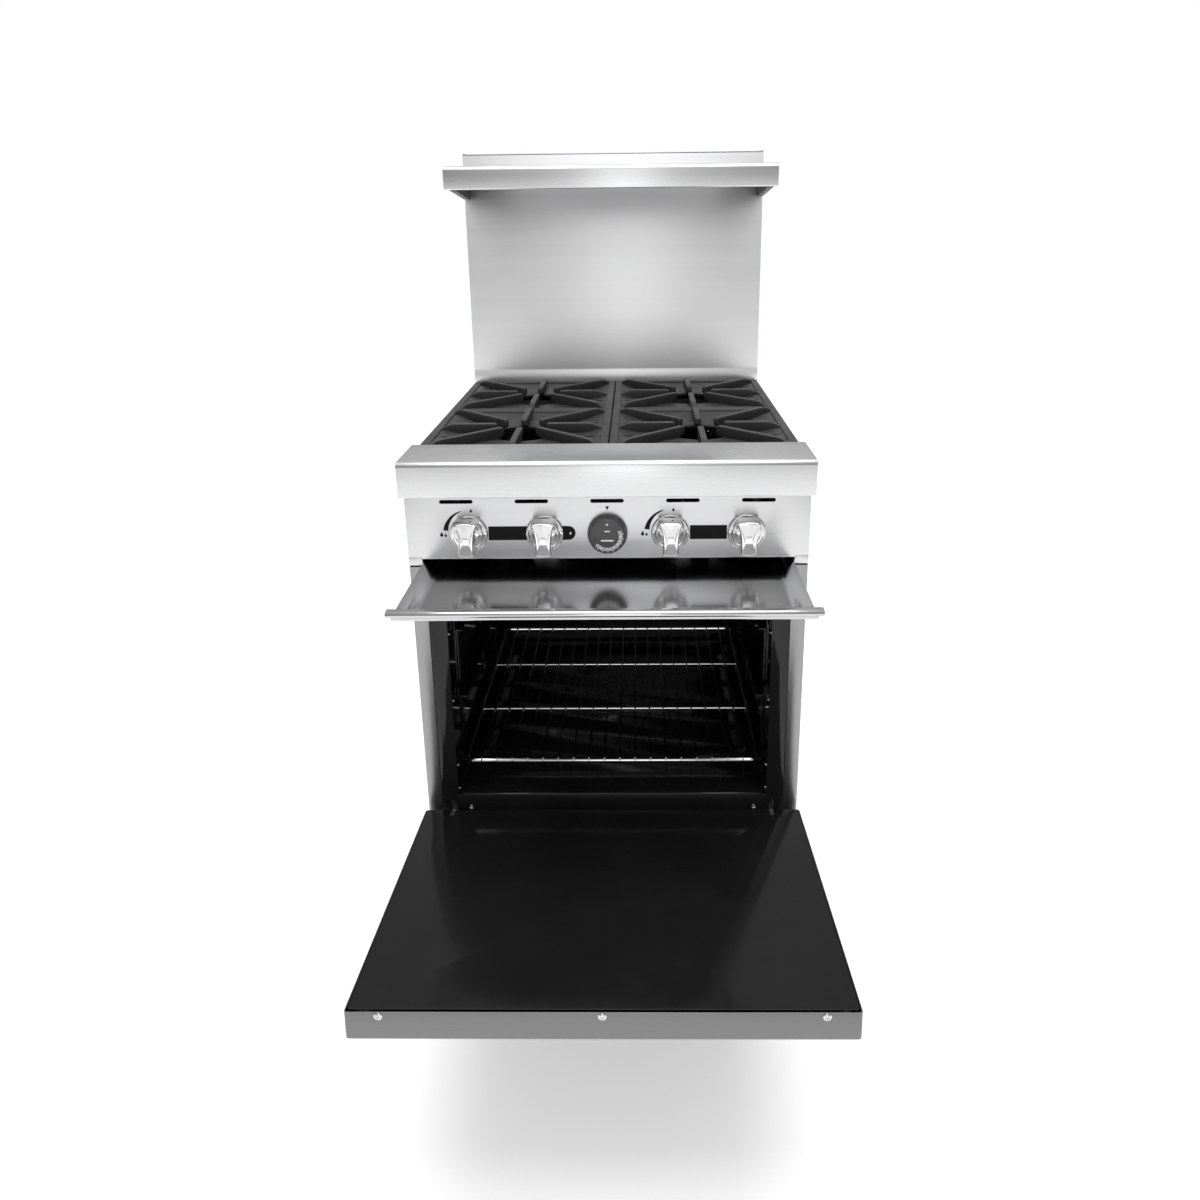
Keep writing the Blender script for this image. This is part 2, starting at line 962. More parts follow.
class Looks:
    """Every finish on the range, by the piece or the place that it is used on."""

    GUARD = BrushedSteel("brushed_backguard", shade=0.79, roughness=0.40)
    SHELF = BrushedSteel("brushed_shelf", shade=0.62, roughness=0.28)
    PANEL = BrushedSteel("brushed_panel", shade=0.58, roughness=0.3)
    TRAY = BrushedSteel("polished_tray", shade=0.5, roughness=0.13, line_height=0.00002)
    SIDES = BrushedSteel("brushed_sides", shade=0.28, roughness=0.3, grain=Grain.UP)
    RISER = BrushedSteel("brushed_riser", shade=0.58, roughness=0.32)
    DOOR = BrushedSteel("brushed_door", shade=0.17, roughness=0.26)
    HANDLE = BrushedSteel("brushed_handle", shade=0.6, roughness=0.22)
    ENAMEL = Enamel("black_enamel")
    DOOR_ENAMEL = Enamel("door_enamel", shade=0.005, roughness=0.12, gloss=0.14)
    IRON = CastIron("grate_iron", shade=0.013)
    BURNER_IRON = CastIron("burner_iron", rub_height=1.2, shade=0.012)
    CHROME = Plating("bright_plate", shade=0.64, roughness=0.09)
    WIRE = Plating("rack_plate", shade=0.72, roughness=0.14)
    GUIDE = Plating("guide_plate", shade=0.10, roughness=0.32)
    SCREW = Plating("screw_plate", shade=0.6, roughness=0.2)
    ZINC = Galvanised("zinc_sheet")
    BRASS = Brass("turned_brass")
    BLACK = Paint("satin_black")
    INK = Paint("black_ink", colour=(0.006, 0.006, 0.006), roughness=0.5, gloss=0.12)
    PALE_INK = Paint("pale_ink", colour=(0.8, 0.8, 0.8), roughness=0.45)
    DIAL = Paint("dial_grey", colour=(0.055, 0.055, 0.057), roughness=0.28, texture_scale=900.0)
    WOOL = MineralWool("wool_batt")


# ---- Small parts shared by the sub-assemblies ----


def dress_node(node: str, look: Finish) -> None:
    """Gives a CAD node that keeps its own shape its finish."""
    for slot in frame["nodes"][node].material_slots:
        slot.material = look.material()


def curve_points(start: Vector, pull: Vector, end: Vector, steps: int) -> list[Vector]:
    """Points on a curve from start towards end, bent towards a pull point, without the end itself.

    Args:
        start: where the curve starts.
        pull: the point that bends it.
        end: where it ends.
        steps: the number of points.

    Returns:
        The points in order.
    """
    points = []
    for step in range(steps):
        t = step / steps
        points.append(start * (1 - t) ** 2 + pull * (2 * t * (1 - t)) + end * t ** 2)
    return points


def arc_points(centre: Vector, radius: float, first: float, last: float, steps: int) -> list[Vector]:
    """Points on an arc in the XZ plane, with its angles in degrees from +X towards +Z."""
    angles = [math.radians(first + (last - first) * step / steps) for step in range(steps + 1)]
    return [centre + radius * Vector((math.cos(angle), 0, math.sin(angle))) for angle in angles]


@dataclass
class PanScrews:
    """Pan-head screws with a cross recess, joined into one piece for each panel that they hold."""

    radius: float = 0.0042
    height: float = 0.0018
    recess: float = 0.0009

    def head(self) -> Stock:
        """One screw head on the origin, facing +Z.

        Returns:
            The head.
        """
        rim = self.height * 0.4
        head = Stock.turned(
            "screw_head",
            [(0, -0.001), (self.radius, -0.001), (self.radius, rim), (self.radius * 0.5, self.height),
                           (0, self.height)], (0, 0, 0), (0, 0, 1), steps=20, radii={3: self.radius * 0.3},
        )
        long, thin = self.radius * 0.55, self.radius * 0.13
        deep = self.height - self.recess
        head.cut(Stock.block("recess_a", (-long, -thin, deep), (long, thin, self.height * 2)))
        return head.cut(Stock.block("recess_b", (-thin, -long, deep), (thin, long, self.height * 2)))

    def place(self, name: str, spots: Sequence[tuple[Sequence[float], Triple]]) -> Stock:
        """Copies of the head at each (point, facing) spot, as one piece.

        Args:
            name: the name of the piece.
            spots: a point on the surface and the way that the head faces, for each screw.

        Returns:
            The heads as one piece.
        """
        master = self.head()
        heads = []
        for number, (point, facing) in enumerate(spots):
            twin = master.copy(f"{name}_{number}")
            twin.obj.rotation_mode = "QUATERNION"
            twin.obj.rotation_quaternion = Vector(facing).to_track_quat("Z", "Y")
            twin.obj.location = Vector(point)
            twin.settle()
            heads.append(twin)
        bpy.data.objects.remove(master.obj)
        first, *others = heads
        first.gather(others)
        first.obj.name = name
        return first


@dataclass
class BullnoseShelf:
    """A folded shelf with a rounded nose, a front lip with a return under it, and welded ends."""

    node: str
    look: Finish
    nose: float = 0.008
    under: float = 0.014
    back_flange: float = 0.012

    def build(self) -> None:
        """Folds the sheet, then adds its end plates a hair inside its outline."""
        low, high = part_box(self.node)
        width = high.x - low.x
        profile = [
            (low.x + REVEAL, low.y + self.under, low.z), (low.x + REVEAL, low.y, low.z),
            (low.x + REVEAL, low.y, high.z), (low.x + REVEAL, high.y, high.z),
            (low.x + REVEAL, high.y, high.z - self.back_flange),
        ]
        radii = {1: 0.002, 2: self.nose, 3: 0.002}
        shelf = folded(f"{self.node}_sheet", profile, (width - 2 * REVEAL, 0, 0), (0, 1, -1), radii)
        ends = []
        for side, x in (("left", low.x), ("right", high.x - SHEET)):
            outline = [
                (x, low.y + REVEAL, low.z + REVEAL), (x, low.y + REVEAL, high.z - REVEAL),
                (x, high.y - REVEAL, high.z - REVEAL), (x, high.y - REVEAL, low.z + REVEAL),
            ]
            ends.append(plate(f"{self.node}_end_{side}", outline, (SHEET, 0, 0), {1: self.nose}, soft=REVEAL))
        shelf.gather(ends).fit(Body.RANGE, Slot.STAINLESS, self.look, [self.node])


# ---- Riser ----


@dataclass
class Riser:
    """The backguard, the flue behind it, and the high shelf on its brackets."""

    trim_height: float = 0.030
    trim_slope: float = 0.012
    screw_inset: float = 0.011

    def build(self) -> None:
        """Makes every piece above the cooktop."""
        self.backguard()
        self.flue()
        BullnoseShelf("high_shelf", Looks.SHELF).build()
        for side in ("left", "right"):
            self.bracket(side)

    def backguard(self) -> None:
        """The flat guard, whose foot steps forward as a bright trim."""
        low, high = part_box("backguard_panel")
        face = high.y - 0.002
        profile = [
            (low.x, low.y, low.z), (low.x, low.y, low.z + self.trim_height),
            (low.x, face, low.z + self.trim_height + self.trim_slope), (low.x, face, high.z),
        ]
        run = (high.x - low.x, 0, 0)
        guard = folded("backguard_sheet", profile, run, (0, 1, 0), {1: 0.006, 2: 0.0015})
        guard.fit(Body.RANGE, Slot.STAINLESS, Looks.GUARD, ["backguard_panel"])

    def flue(self) -> None:
        """A three-sided channel under a slotted cap, with seam screws at the back and the sides."""
        low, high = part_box("flue_riser")
        guard_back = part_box("backguard_panel")[1].y
        profile = [
            (low.x, guard_back + REVEAL, low.z), (low.x, high.y, low.z), (high.x, high.y, low.z),
            (high.x, guard_back + REVEAL, low.z),
        ]
        height = high.z - low.z
        channel = folded("flue_channel", profile, (0, 0, height), (0, -1, 0), {1: 0.003, 2: 0.003})
        cap_top = high.z - 0.002
        cap = Stock.block("flue_cap", (low.x + SHEET, low.y, cap_top - SHEET),
                          (high.x - SHEET, high.y - SHEET, cap_top))
        slot_front, slot_back, slot_half = low.y + 0.025, low.y + 0.079, 0.24
        hole = Stock.block("flue_hole", (-slot_half, slot_front, cap_top - 0.01),
                           (slot_half, slot_back, cap_top + 0.01))
        hole.round_edges(lambda _, way: abs(way.z) > 0.9, 0.006)
        cap.cut(hole).soften(REVEAL)
        lips = []
        for y in (slot_front - SHEET, slot_back):
            lips.append(Stock.block("flue_lip", (-slot_half, y, cap_top - 0.014),
                                    (slot_half, y + SHEET, cap_top - 0.0005)))
        channel.gather([cap, *lips]).fit(Body.RANGE, Slot.STAINLESS, Looks.RISER, ["flue_riser"])
        spots = []
        levels = [low.z + height * part for part in (0.08, 0.36, 0.64, 0.92)]
        for z in levels:
            for x in (low.x + self.screw_inset * 2, high.x - self.screw_inset * 2):
                spots.append(((x, high.y - 0.0019, z), (0, 1, 0)))
        for z in levels[::3]:
            for x, way in ((low.x + 0.0017, -1), (high.x - 0.0017, 1)):
                spots.append(((x, guard_back + 0.02, z), (way, 0, 0)))
        PanScrews().place("flue_screws", spots).fit(Body.RANGE, Slot.CHROME, Looks.SCREW)

    def bracket(self, side: str) -> None:
        """A black bracket under one end of the shelf, deepest against the guard.

        Args:
            side: left or right.
        """
        low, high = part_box(f"shelf_bracket_{side}")
        outline = [
            (low.x, high.y, high.z), (low.x, high.y, low.z), (low.x, high.y - 0.012, low.z),
            (low.x, low.y, low.z + 0.015), (low.x, low.y, high.z),
        ]
        run = (high.x - low.x, 0, 0)
        web = plate(f"bracket_web_{side}", outline, run, {2: 0.010, 3: 0.004}, soft=0.001)
        web.fit(Body.RANGE, Slot.BLACK_PAINT, Looks.BLACK, [f"shelf_bracket_{side}"])


# ---- Body ----


@dataclass
class Carcass:
    """Side panels with stiles, the rear panel, the kick panel, the base frame, the legs and the feet."""

    fold: float = 0.002
    stile_bottom: float = 0.29
    louvre_rows: int = 7
    louvre_half: float = 0.06
    louvre_columns: tuple[float, ...] = (-0.12, 0.12)
    louvre_start: float = 0.13
    louvre_pitch: float = 0.028

    def build(self) -> None:
        """Makes every outer piece below the cooktop."""
        left = self.side_panel()
        right = left.mirrored("side_sheet_right")
        left.fit(Body.RANGE, Slot.STAINLESS, Looks.SIDES, ["side_panel_left"])
        right.fit(Body.RANGE, Slot.STAINLESS, Looks.SIDES, ["side_panel_right"])
        self.rear_panel()
        self.kick_panel()
        self.panel_screws()
        self.legs()
        dress_node("base_frame", Looks.ZINC)

    def side_panel(self) -> Stock:
        """The left panel: it wraps round the front as a stile, which stops below the control panel.

        Returns:
            The left panel.
        """
        low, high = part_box("side_panel_left")
        panel_low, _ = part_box("control_panel")
        profile = [(high.x, low.y, low.z), (low.x, low.y, low.z), (low.x, high.y, low.z),
                   (low.x + 0.012, high.y, low.z)]
        run = (0, 0, high.z - low.z)
        sheet = folded("side_sheet_left", profile, run, (1, 0, 0), {1: self.fold, 2: self.fold})
        stile_top = panel_low.z - 0.003
        return sheet.cut(
            Stock.block("above_stile", (low.x - 0.01, low.y - 0.01, stile_top),
                        (high.x + 0.01, low.y + 0.003, high.z + 0.01)),
            Stock.block("below_stile", (low.x + SHEET, low.y - 0.01, low.z - 0.01),
                        (high.x + 0.01, low.y + 0.003, self.stile_bottom)),
        )

    def rear_panel(self) -> None:
        """A flat zinc panel with two columns of louvre slots and the gas inlet hole."""
        low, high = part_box("rear_panel")
        pipe_low, pipe_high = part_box("gas_manifold")
        panel = Stock.block("rear_sheet", (low.x, high.y - SHEET, low.z), high)
        inlet_x = pipe_high.x - 0.015
        inlet_z = (pipe_low.z + pipe_high.z) / 2
        cutters = [Stock.rod("inlet_hole", (inlet_x, low.y - 0.01, inlet_z),
                             (inlet_x, high.y + 0.01, inlet_z), 0.016)]
        flaps = []
        for row in range(self.louvre_rows):
            z = low.z + self.louvre_start + row * self.louvre_pitch
            for x in self.louvre_columns:
                slot = Stock.block("louvre", (x - self.louvre_half, low.y - 0.01, z - 0.003),
                                   (x + self.louvre_half, high.y + 0.01, z + 0.003))
                slot.round_edges(lambda _, way: abs(way.y) > 0.9, 0.0029)
                cutters.append(slot)
                flap = Stock.block("flap", (x - self.louvre_half, high.y - 0.010, z + 0.003),
                                   (x + self.louvre_half, high.y - SHEET, z + 0.004))
                flaps.append(flap.turn(-24, "X", (x, high.y - SHEET, z + 0.003)))
        panel.cut(*cutters).soften(REVEAL)
        panel.gather(flaps).fit(Body.RANGE, Slot.GALVANISED, Looks.ZINC, ["rear_panel"])

    def kick_panel(self) -> None:
        """The plain panel below the oven door."""
        low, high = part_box("kick_panel")
        profile = [(low.x, high.y, high.z), (low.x, low.y, high.z), (low.x, low.y, low.z)]
        kick = folded("kick_sheet", profile, (high.x - low.x, 0, 0), (0, 1, -1), {1: self.fold})
        kick.fit(Body.RANGE, Slot.STAINLESS, Looks.PANEL, ["kick_panel"])

    def panel_screws(self) -> None:
        """The screws that hold the kick, side and rear panels."""
        kick_low, kick_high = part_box("kick_panel")
        side_low, side_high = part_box("side_panel_right")
        rear_low, rear_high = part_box("rear_panel")
        spots = []
        for x in (kick_low.x + 0.025, kick_high.x - 0.025):
            spots.append(((x, kick_low.y, kick_low.z + 0.016), (0, -1, 0)))
        for side in (-1, 1):
            for y in (side_low.y + 0.03, side_high.y - 0.03):
                spots.append(((side * side_high.x - side * 0.0006, y, side_low.z + 0.014), (side, 0, 0)))
            for part in (0.04, 0.35, 0.65, 0.96):
                z = rear_low.z + (rear_high.z - rear_low.z) * part
                spots.append(((side * (rear_high.x - 0.012), rear_high.y - 0.0019, z), (0, 1, 0)))
        PanScrews(height=0.0016).place("panel_screws", spots).fit(Body.RANGE, Slot.CHROME, Looks.SCREW)

    def legs(self) -> None:
        """Four tapered legs, with an adjusting foot in each."""
        for corner in CORNERS:
            low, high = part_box(f"leg_{corner}")
            centre = ((low.x + high.x) / 2, (low.y + high.y) / 2, 0)
            leg = Stock.turned(
                f"leg_tube_{corner}",
                [(0.0072, low.z), (0.0165, low.z), (0.0205, 0.112), (0.0205, 0.118), (0.0225, 0.12),
                 (0.0235, high.z - 0.006), (0.038, high.z - 0.004), (0.038, high.z), (0.0072, high.z)],
                centre, (0, 0, 1), radii={1: 0.0012, 3: 0.0008, 5: 0.002, 6: 0.001}, closed=True,
            )
            leg.fit(Body.RANGE, Slot.CHROME, Looks.CHROME, [f"leg_{corner}"])
            foot_low, foot_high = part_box(f"levelling_foot_{corner}")
            foot = Stock.turned(
                f"foot_{corner}",
                [(0, foot_low.z), (0.019, foot_low.z), (0.021, 0.0025), (0.021, 0.008), (0.0155, 0.0135),
                 (0.0155, low.z - 0.0006), (0.006, low.z - 0.0006), (0.006, foot_high.z), (0, foot_high.z)],
                centre, (0, 0, 1), radii={2: 0.001, 3: 0.002, 4: 0.002},
            )
            foot.fit(f"levelling_foot_{corner}", Slot.CHROME, Looks.CHROME, [f"levelling_foot_{corner}"])


# ---- Controls ----


@dataclass
class ControlPanel:
    """The panel with its vent slots, its printed marks, four knobs and the oven dial."""

    slot_half: float = 0.025
    slot_height: float = 0.006
    slot_z: float = 0.847
    slot_pitch: float = 0.1125
    mark_height: float = 0.0002
    knobs: tuple[str, ...] = tuple(f"burner_knob_{number}" for number in range(1, 5))

    def build(self) -> None:
        """Makes the panel and everything on it."""
        self.low, self.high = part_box("control_panel")
        self.places = [self.middle(node) for node in self.knobs]
        self.dial_place = self.middle("thermostat_dial")
        self.panel()
        self.marks()
        self.make_knobs()
        Dial().build()

    def middle(self, node: str) -> Vector:
        """The point on the panel's face behind a knob."""
        low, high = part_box(node)
        return Vector(((low.x + high.x) / 2, self.low.y, (low.z + high.z) / 2))

    def panel(self) -> None:
        """The folded sheet: a rounded bottom edge between two ears, five slots and five shaft holes."""
        _, tray_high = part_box("crumb_tray")
        edge = tray_high.z + 0.0025
        x = self.low.x
        profile = [(x, self.high.y, self.high.z), (x, self.low.y, self.high.z), (x, self.low.y, edge),
                   (x, self.low.y + 0.007, edge)]
        run = (self.high.x - self.low.x, 0, 0)
        sheet = folded("control_sheet", profile, run, (0, 1, 0), {1: 0.002, 2: 0.002})
        cutters = []
        front, back = self.low.y - 0.01, self.low.y + 0.01
        for number in range(-2, 3):
            slot_x = number * self.slot_pitch
            slot = Stock.block("slot", (slot_x - self.slot_half, front, self.slot_z - self.slot_height / 2),
                               (slot_x + self.slot_half, back, self.slot_z + self.slot_height / 2))
            slot.round_edges(lambda _, way: abs(way.y) > 0.9, self.slot_height * 0.48)
            cutters.append(slot)
        for place in [*self.places, self.dial_place]:
            cutters.append(Stock.rod("shaft_hole", (place.x, front, place.z), (place.x, back, place.z),
                                     0.007))
        sheet.cut(*cutters)
        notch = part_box("crumb_tray")[1].x - 0.010
        ears = []
        for side in (-1, 1):
            inner, outer = sorted((side * notch, side * self.high.x))
            ears.append(Stock.block("ear", (inner, self.low.y, self.low.z),
                                    (outer, self.low.y + SHEET, edge + 0.004)).soften(REVEAL))
        sheet.gather(ears).fit(Body.RANGE, Slot.STAINLESS, Looks.PANEL, ["control_panel"])

    def mark(self, name: str, outline: Sequence[Vector], radii: dict[int, float] | None = None) -> Stock:
        """A thin printed mark on the panel's face."""
        return plate(name, outline, (0, -self.mark_height, 0), radii)

    def strip(self, name: str, left: float, right: float, right_radius: float) -> Stock:
        """A dark strip between two places along the panel.

        Args:
            name: the name of the mark.
            left: the X of its left end.
            right: the X of its right end.
            right_radius: the corner radius at its right end.

        Returns:
            The strip.
        """
        half = 0.011
        y, z = self.low.y, self.places[0].z
        outline = [Vector((left, y, z - half)), Vector((right, y, z - half)), Vector((right, y, z + half)),
                   Vector((left, y, z + half))]
        return self.mark(name, outline, {0: 0.0008, 1: right_radius, 2: right_radius, 3: 0.0008})

    def drop(self, name: str, centre: Vector, size: float) -> Stock:
        """A small flame-shaped drop.

        Args:
            name: the name of the mark.
            centre: the middle of its round part.
            size: its size.

        Returns:
            The drop.
        """
        tip = centre + Vector((0, 0, size * 1.3))
        body = arc_points(centre, size * 0.62, 20, -200, 12)
        return self.mark(name, [tip, *body])

    def marks(self) -> None:
        """Dark strips, a thickening arc by each pair's left knob, drops, and a pointer above the dial."""
        first, second, third, fourth = self.places
        ink = [
            self.strip("strip_left", first.x + 0.0292, second.x + 0.046, 0.0105),
            self.strip("strip_right", third.x + 0.0292, fourth.x - 0.0292, 0.0008),
        ]
        for number, place in enumerate((first, third)):
            outer = [place + (point - place) * (1 + 0.05 * step / 12)
                     for step, point in enumerate(arc_points(place, 0.0372, 107, 172, 12))]
            inner = [place + (point - place) * (1 - 0.13 * step / 12)
                     for step, point in enumerate(arc_points(place, 0.0360, 107, 172, 12))]
            ink.append(self.mark(f"arc_{number}", [*outer, *reversed(inner)]))
            ink.append(self.drop(f"drop_low_{number}", place + Vector((-0.0415, 0, -0.0025)), 0.0040))
            ink.append(self.drop(f"drop_side_{number}", place + Vector((-0.0355, 0, -0.0035)), 0.0028))
            ink.append(self.drop(f"drop_top_{number}", place + Vector((0.0045, 0, 0.0350)), 0.0030))
        tip = self.dial_place + Vector((0, 0, 0.0355))
        ink.append(self.mark("pointer",
                             [tip, tip + Vector((0.003, 0, 0.006)), tip + Vector((-0.003, 0, 0.006))]))
        first_mark, *others = ink
        first_mark.gather(others)
        first_mark.obj.name = "panel_marks"
        first_mark.fit(Body.RANGE, Slot.BLACK_PAINT, Looks.INK)
        pale = self.drop("strip_drop", second + Vector((0.0385, -self.mark_height, -0.001)), 0.0024)
        pale.fit(Body.RANGE, Slot.DIAL, Looks.PALE_INK)

    def make_knobs(self) -> None:
        """One knob, copied to its four places."""
        master = Knob().model()
        for node, place in zip(self.knobs, self.places):
            knob = master.copy(f"{node}_casting", place + Vector((0, -0.0004, 0)))
            knob.fit(node, Slot.CHROME, Looks.CHROME, [node])
        bpy.data.objects.remove(master.obj)


@dataclass
class Knob:
    """A chrome knob: a domed skirt with turned rings, and a grip that flares at the top."""

    skirt: float = 0.0285
    depth: float = 0.034
    top_half: float = 0.0182
    waist_half: float = 0.0092
    foot_half: float = 0.0122
    reach: float = 0.0265

    def model(self) -> Stock:
        """The knob with the back of its skirt on the origin, facing -Y.

        Returns:
            The knob.
        """
        skirt = Stock.turned(
            "knob_master",
            [(0.0046, 0), (self.skirt, 0), (self.skirt, 0.0024), (0.0268, 0.0036), (0.0261, 0.0032),
             (0.0215, 0.0048), (0.0208, 0.0060), (0.0202, 0.0056), (0.0145, 0.0082), (0.0046, 0.0086)],
            (0, 0, 0), (0, -1, 0), steps=72, radii={2: 0.0008, 3: 0.0003, 5: 0.0004, 6: 0.0003, 8: 0.002},
            closed=True,
        )
        skirt.soften(0.0002)
        grip = plate("grip", self.grip_outline(), (0, -(self.depth - 0.005), 0))
        with editing(grip.obj):
            grip.select(Pick.FACES, lambda at, way: way.y < -0.9)
            bpy.ops.transform.resize(value=(0.96, 1, 0.96), center_override=(0, -self.depth, 0))
            bpy.ops.mesh.bevel(affect="EDGES", offset=0.0018, segments=4)
        grip.soften(0.0006)
        return skirt.gather([grip])

    def grip_outline(self) -> list[Vector]:
        """The grip's outline: an arched top, hollow sides and a rounded foot.

        Returns:
            The points of the outline.
        """
        back = -0.005
        top_left = Vector((-self.top_half, back, self.reach - 0.0025))
        top_right = Vector((self.top_half, back, self.reach - 0.0025))
        foot_left = Vector((-self.foot_half, back, -self.reach + 0.002))
        foot_right = Vector((self.foot_half, back, -self.reach + 0.002))
        return [
            *curve_points(top_left, Vector((0, back, self.reach + 0.004)), top_right, 10),
            *curve_points(top_right, Vector((self.waist_half, back, 0.006)), foot_right, 12),
            *curve_points(foot_right, Vector((0, back, -self.reach - 0.003)), foot_left, 8),
            *curve_points(foot_left, Vector((-self.waist_half, back, 0.006)), top_left, 12),
        ]


@dataclass
class Dial:
    """The oven dial: a dark turned body with pale numbers and ticks."""

    numbers: tuple[int, ...] = (150, 200, 250, 300, 350, 400, 450, 500)
    first_angle: float = 232.0
    step_angle: float = 20.0
    number_radius: float = 0.0195
    tick_radius: float = 0.0236

    def build(self) -> None:
        """Turns the body, then prints its face."""
        low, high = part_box("thermostat_dial")
        self.centre = Vector(((low.x + high.x) / 2, high.y, (low.z + high.z) / 2))
        self.depth = high.y - low.y
        body = Stock.turned(
            "dial_body", [(0, 0), (0.030, 0), (0.030, 0.006), (0.0288, 0.0085), (0.0275, 0.0165),
                          (0.0258, self.depth - 0.0002),
                          (0, self.depth - 0.0002)], self.centre, (0, -1, 0), steps=72,
            radii={2: 0.001, 3: 0.001, 4: 0.001, 5: 0.0006},
        )
        body.fit("thermostat_dial", Slot.DIAL, Looks.DIAL, ["thermostat_dial"])
        self.face()

    def spot(self, radius: float, angle: float) -> Vector:
        """A point on the dial's face."""
        turn = math.radians(angle)
        return self.centre + Vector((radius * math.cos(turn), -self.depth, radius * math.sin(turn)))

    def number(self, value: int, angle: float) -> Stock:
        """One number, upright when it is turned to the top.

        Args:
            value: the number.
            angle: where it stands on the dial, in degrees.

        Returns:
            The number as a mesh.
        """
        deselect_all()
        bpy.ops.object.text_add()
        text = bpy.context.object
        text.data.body = str(value)
        text.data.size = 0.0074
        text.data.offset = 0.0001
        text.data.extrude = 0.0001
        text.data.align_x = "CENTER"
        text.data.align_y = "CENTER"
        bpy.ops.object.convert(target="MESH")
        stock = Stock(bpy.context.object, f"dial_number_{value}")
        with editing(stock.obj):
            bpy.ops.mesh.remove_doubles(threshold=1e-6)
        stock.turn(90, "X", (0, 0, 0))
        stock.turn(90 - angle, "Y", (0, 0, 0))
        return stock.shift(self.spot(self.number_radius, angle))

    def face(self) -> None:
        """Numbers round the rim with a tick for each, and a bar in the middle."""
        pale = []
        for index, value in enumerate(self.numbers):
            angle = self.first_angle + index * self.step_angle
            pale.append(self.number(value, angle))
            tick = Stock.block(f"tick_{value}", (-0.0004, -0.0002, -0.0012), (0.0004, 0, 0.0012))
            tick.turn(90 - angle, "Y", (0, 0, 0))
            pale.append(tick.shift(self.spot(self.tick_radius, angle)))
        bars = ((0.0095, 0.0011, -0.0060), (0.0042, 0.0009, 0.0085), (0.0016, 0.0012, 0.0190))
        for half, thin, up in bars:
            bar = Stock.block("dial_bar", (-half, -0.0002, up - thin), (half, 0, up + thin)).soften(0.0003)
            pale.append(bar.shift(self.spot(0.0, 0)))
        first, *others = pale
        first.gather(others)
        first.obj.name = "dial_marks"
        first.fit("thermostat_dial", Slot.DIAL, Looks.PALE_INK)


# ---- Tray ----


@dataclass
class CrumbTray:
    """The tray under the burners: a shallow pan with a rolled front lip and an apron under it."""

    wall: float = 0.0012
    floor_inset: float = 0.022
    fold: float = 0.005
    roll_radius: float = 0.0045
    roll_depth: float = 0.012

    def build(self) -> None:
        """Makes the pan, the roll and the apron as one piece."""
        low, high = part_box("crumb_tray")
        pan_half = 0.28
        front = low.y + self.roll_depth
        rim = high.z - 0.0013
        outline = [
            (-pan_half, front, rim), (pan_half, front, rim), (pan_half, high.y, rim),
            (-pan_half, high.y, rim), ]
        pan = Stock.line("tray_pan", outline, closed=True).fill().push((0, 0, low.z - rim))
        with editing(pan.obj):
            pan.select(Pick.FACES, lambda at, way: abs(at.z - low.z) < 1e-6)
            ratio_x = (pan_half - self.floor_inset) / pan_half
            length = high.y - front
            ratio_y = (length - 2 * self.floor_inset) / length
            centre = (0, (high.y + front) / 2, low.z)
            bpy.ops.transform.resize(value=(ratio_x, ratio_y, 1), center_override=centre)
        pan.delete_faces(lambda at, way: abs(at.z - rim) < 1e-6)
        pan.round_edges(lambda at, way: at.z < rim - 1e-4, self.fold, 4)
        pan.thicken(self.wall, (0, 0, 1)).soften(REVEAL)
        pan.gather([self.lip(low, high), self.apron(low, high)])
        pan.fit(Body.TRAY, Slot.STAINLESS, Looks.TRAY, ["crumb_tray"])

    def lip(self, low: Vector, high: Vector) -> Stock:
        """The roll along the front: a sheet that goes over, round and back under itself.

        Args:
            low: the low corner of the tray.
            high: its high corner.

        Returns:
            The roll.
        """
        x, r = low.x + REVEAL, self.roll_radius
        profile = [
            (x, low.y + self.roll_depth + 0.0014, high.z), (x, low.y, high.z), (x, low.y, high.z - 2 * r),
            (x, low.y + self.roll_depth, high.z - 2 * r),
        ]
        return folded("tray_lip", profile, (high.x - low.x - 2 * REVEAL, 0, 0), (0, 1, -1),
                      {1: r, 2: r * 0.95},
                      thickness=self.wall)

    def apron(self, low: Vector, high: Vector) -> Stock:
        """The lower front strip, set back under the roll.

        Args:
            low: the low corner of the tray.
            high: its high corner.

        Returns:
            The strip.
        """
        half = 0.285
        front = low.y + 0.004
        top = high.z - 2 * self.roll_radius + 0.001
        profile = [
            (-half, front, top), (-half, front, low.z + 0.0022), (-half, front + 0.009, low.z + 0.0003),
        ]
        return folded("tray_apron", profile, (2 * half, 0, 0), (0, 1, 0), {1: 0.002}, thickness=self.wall)


# ---- Oven ----


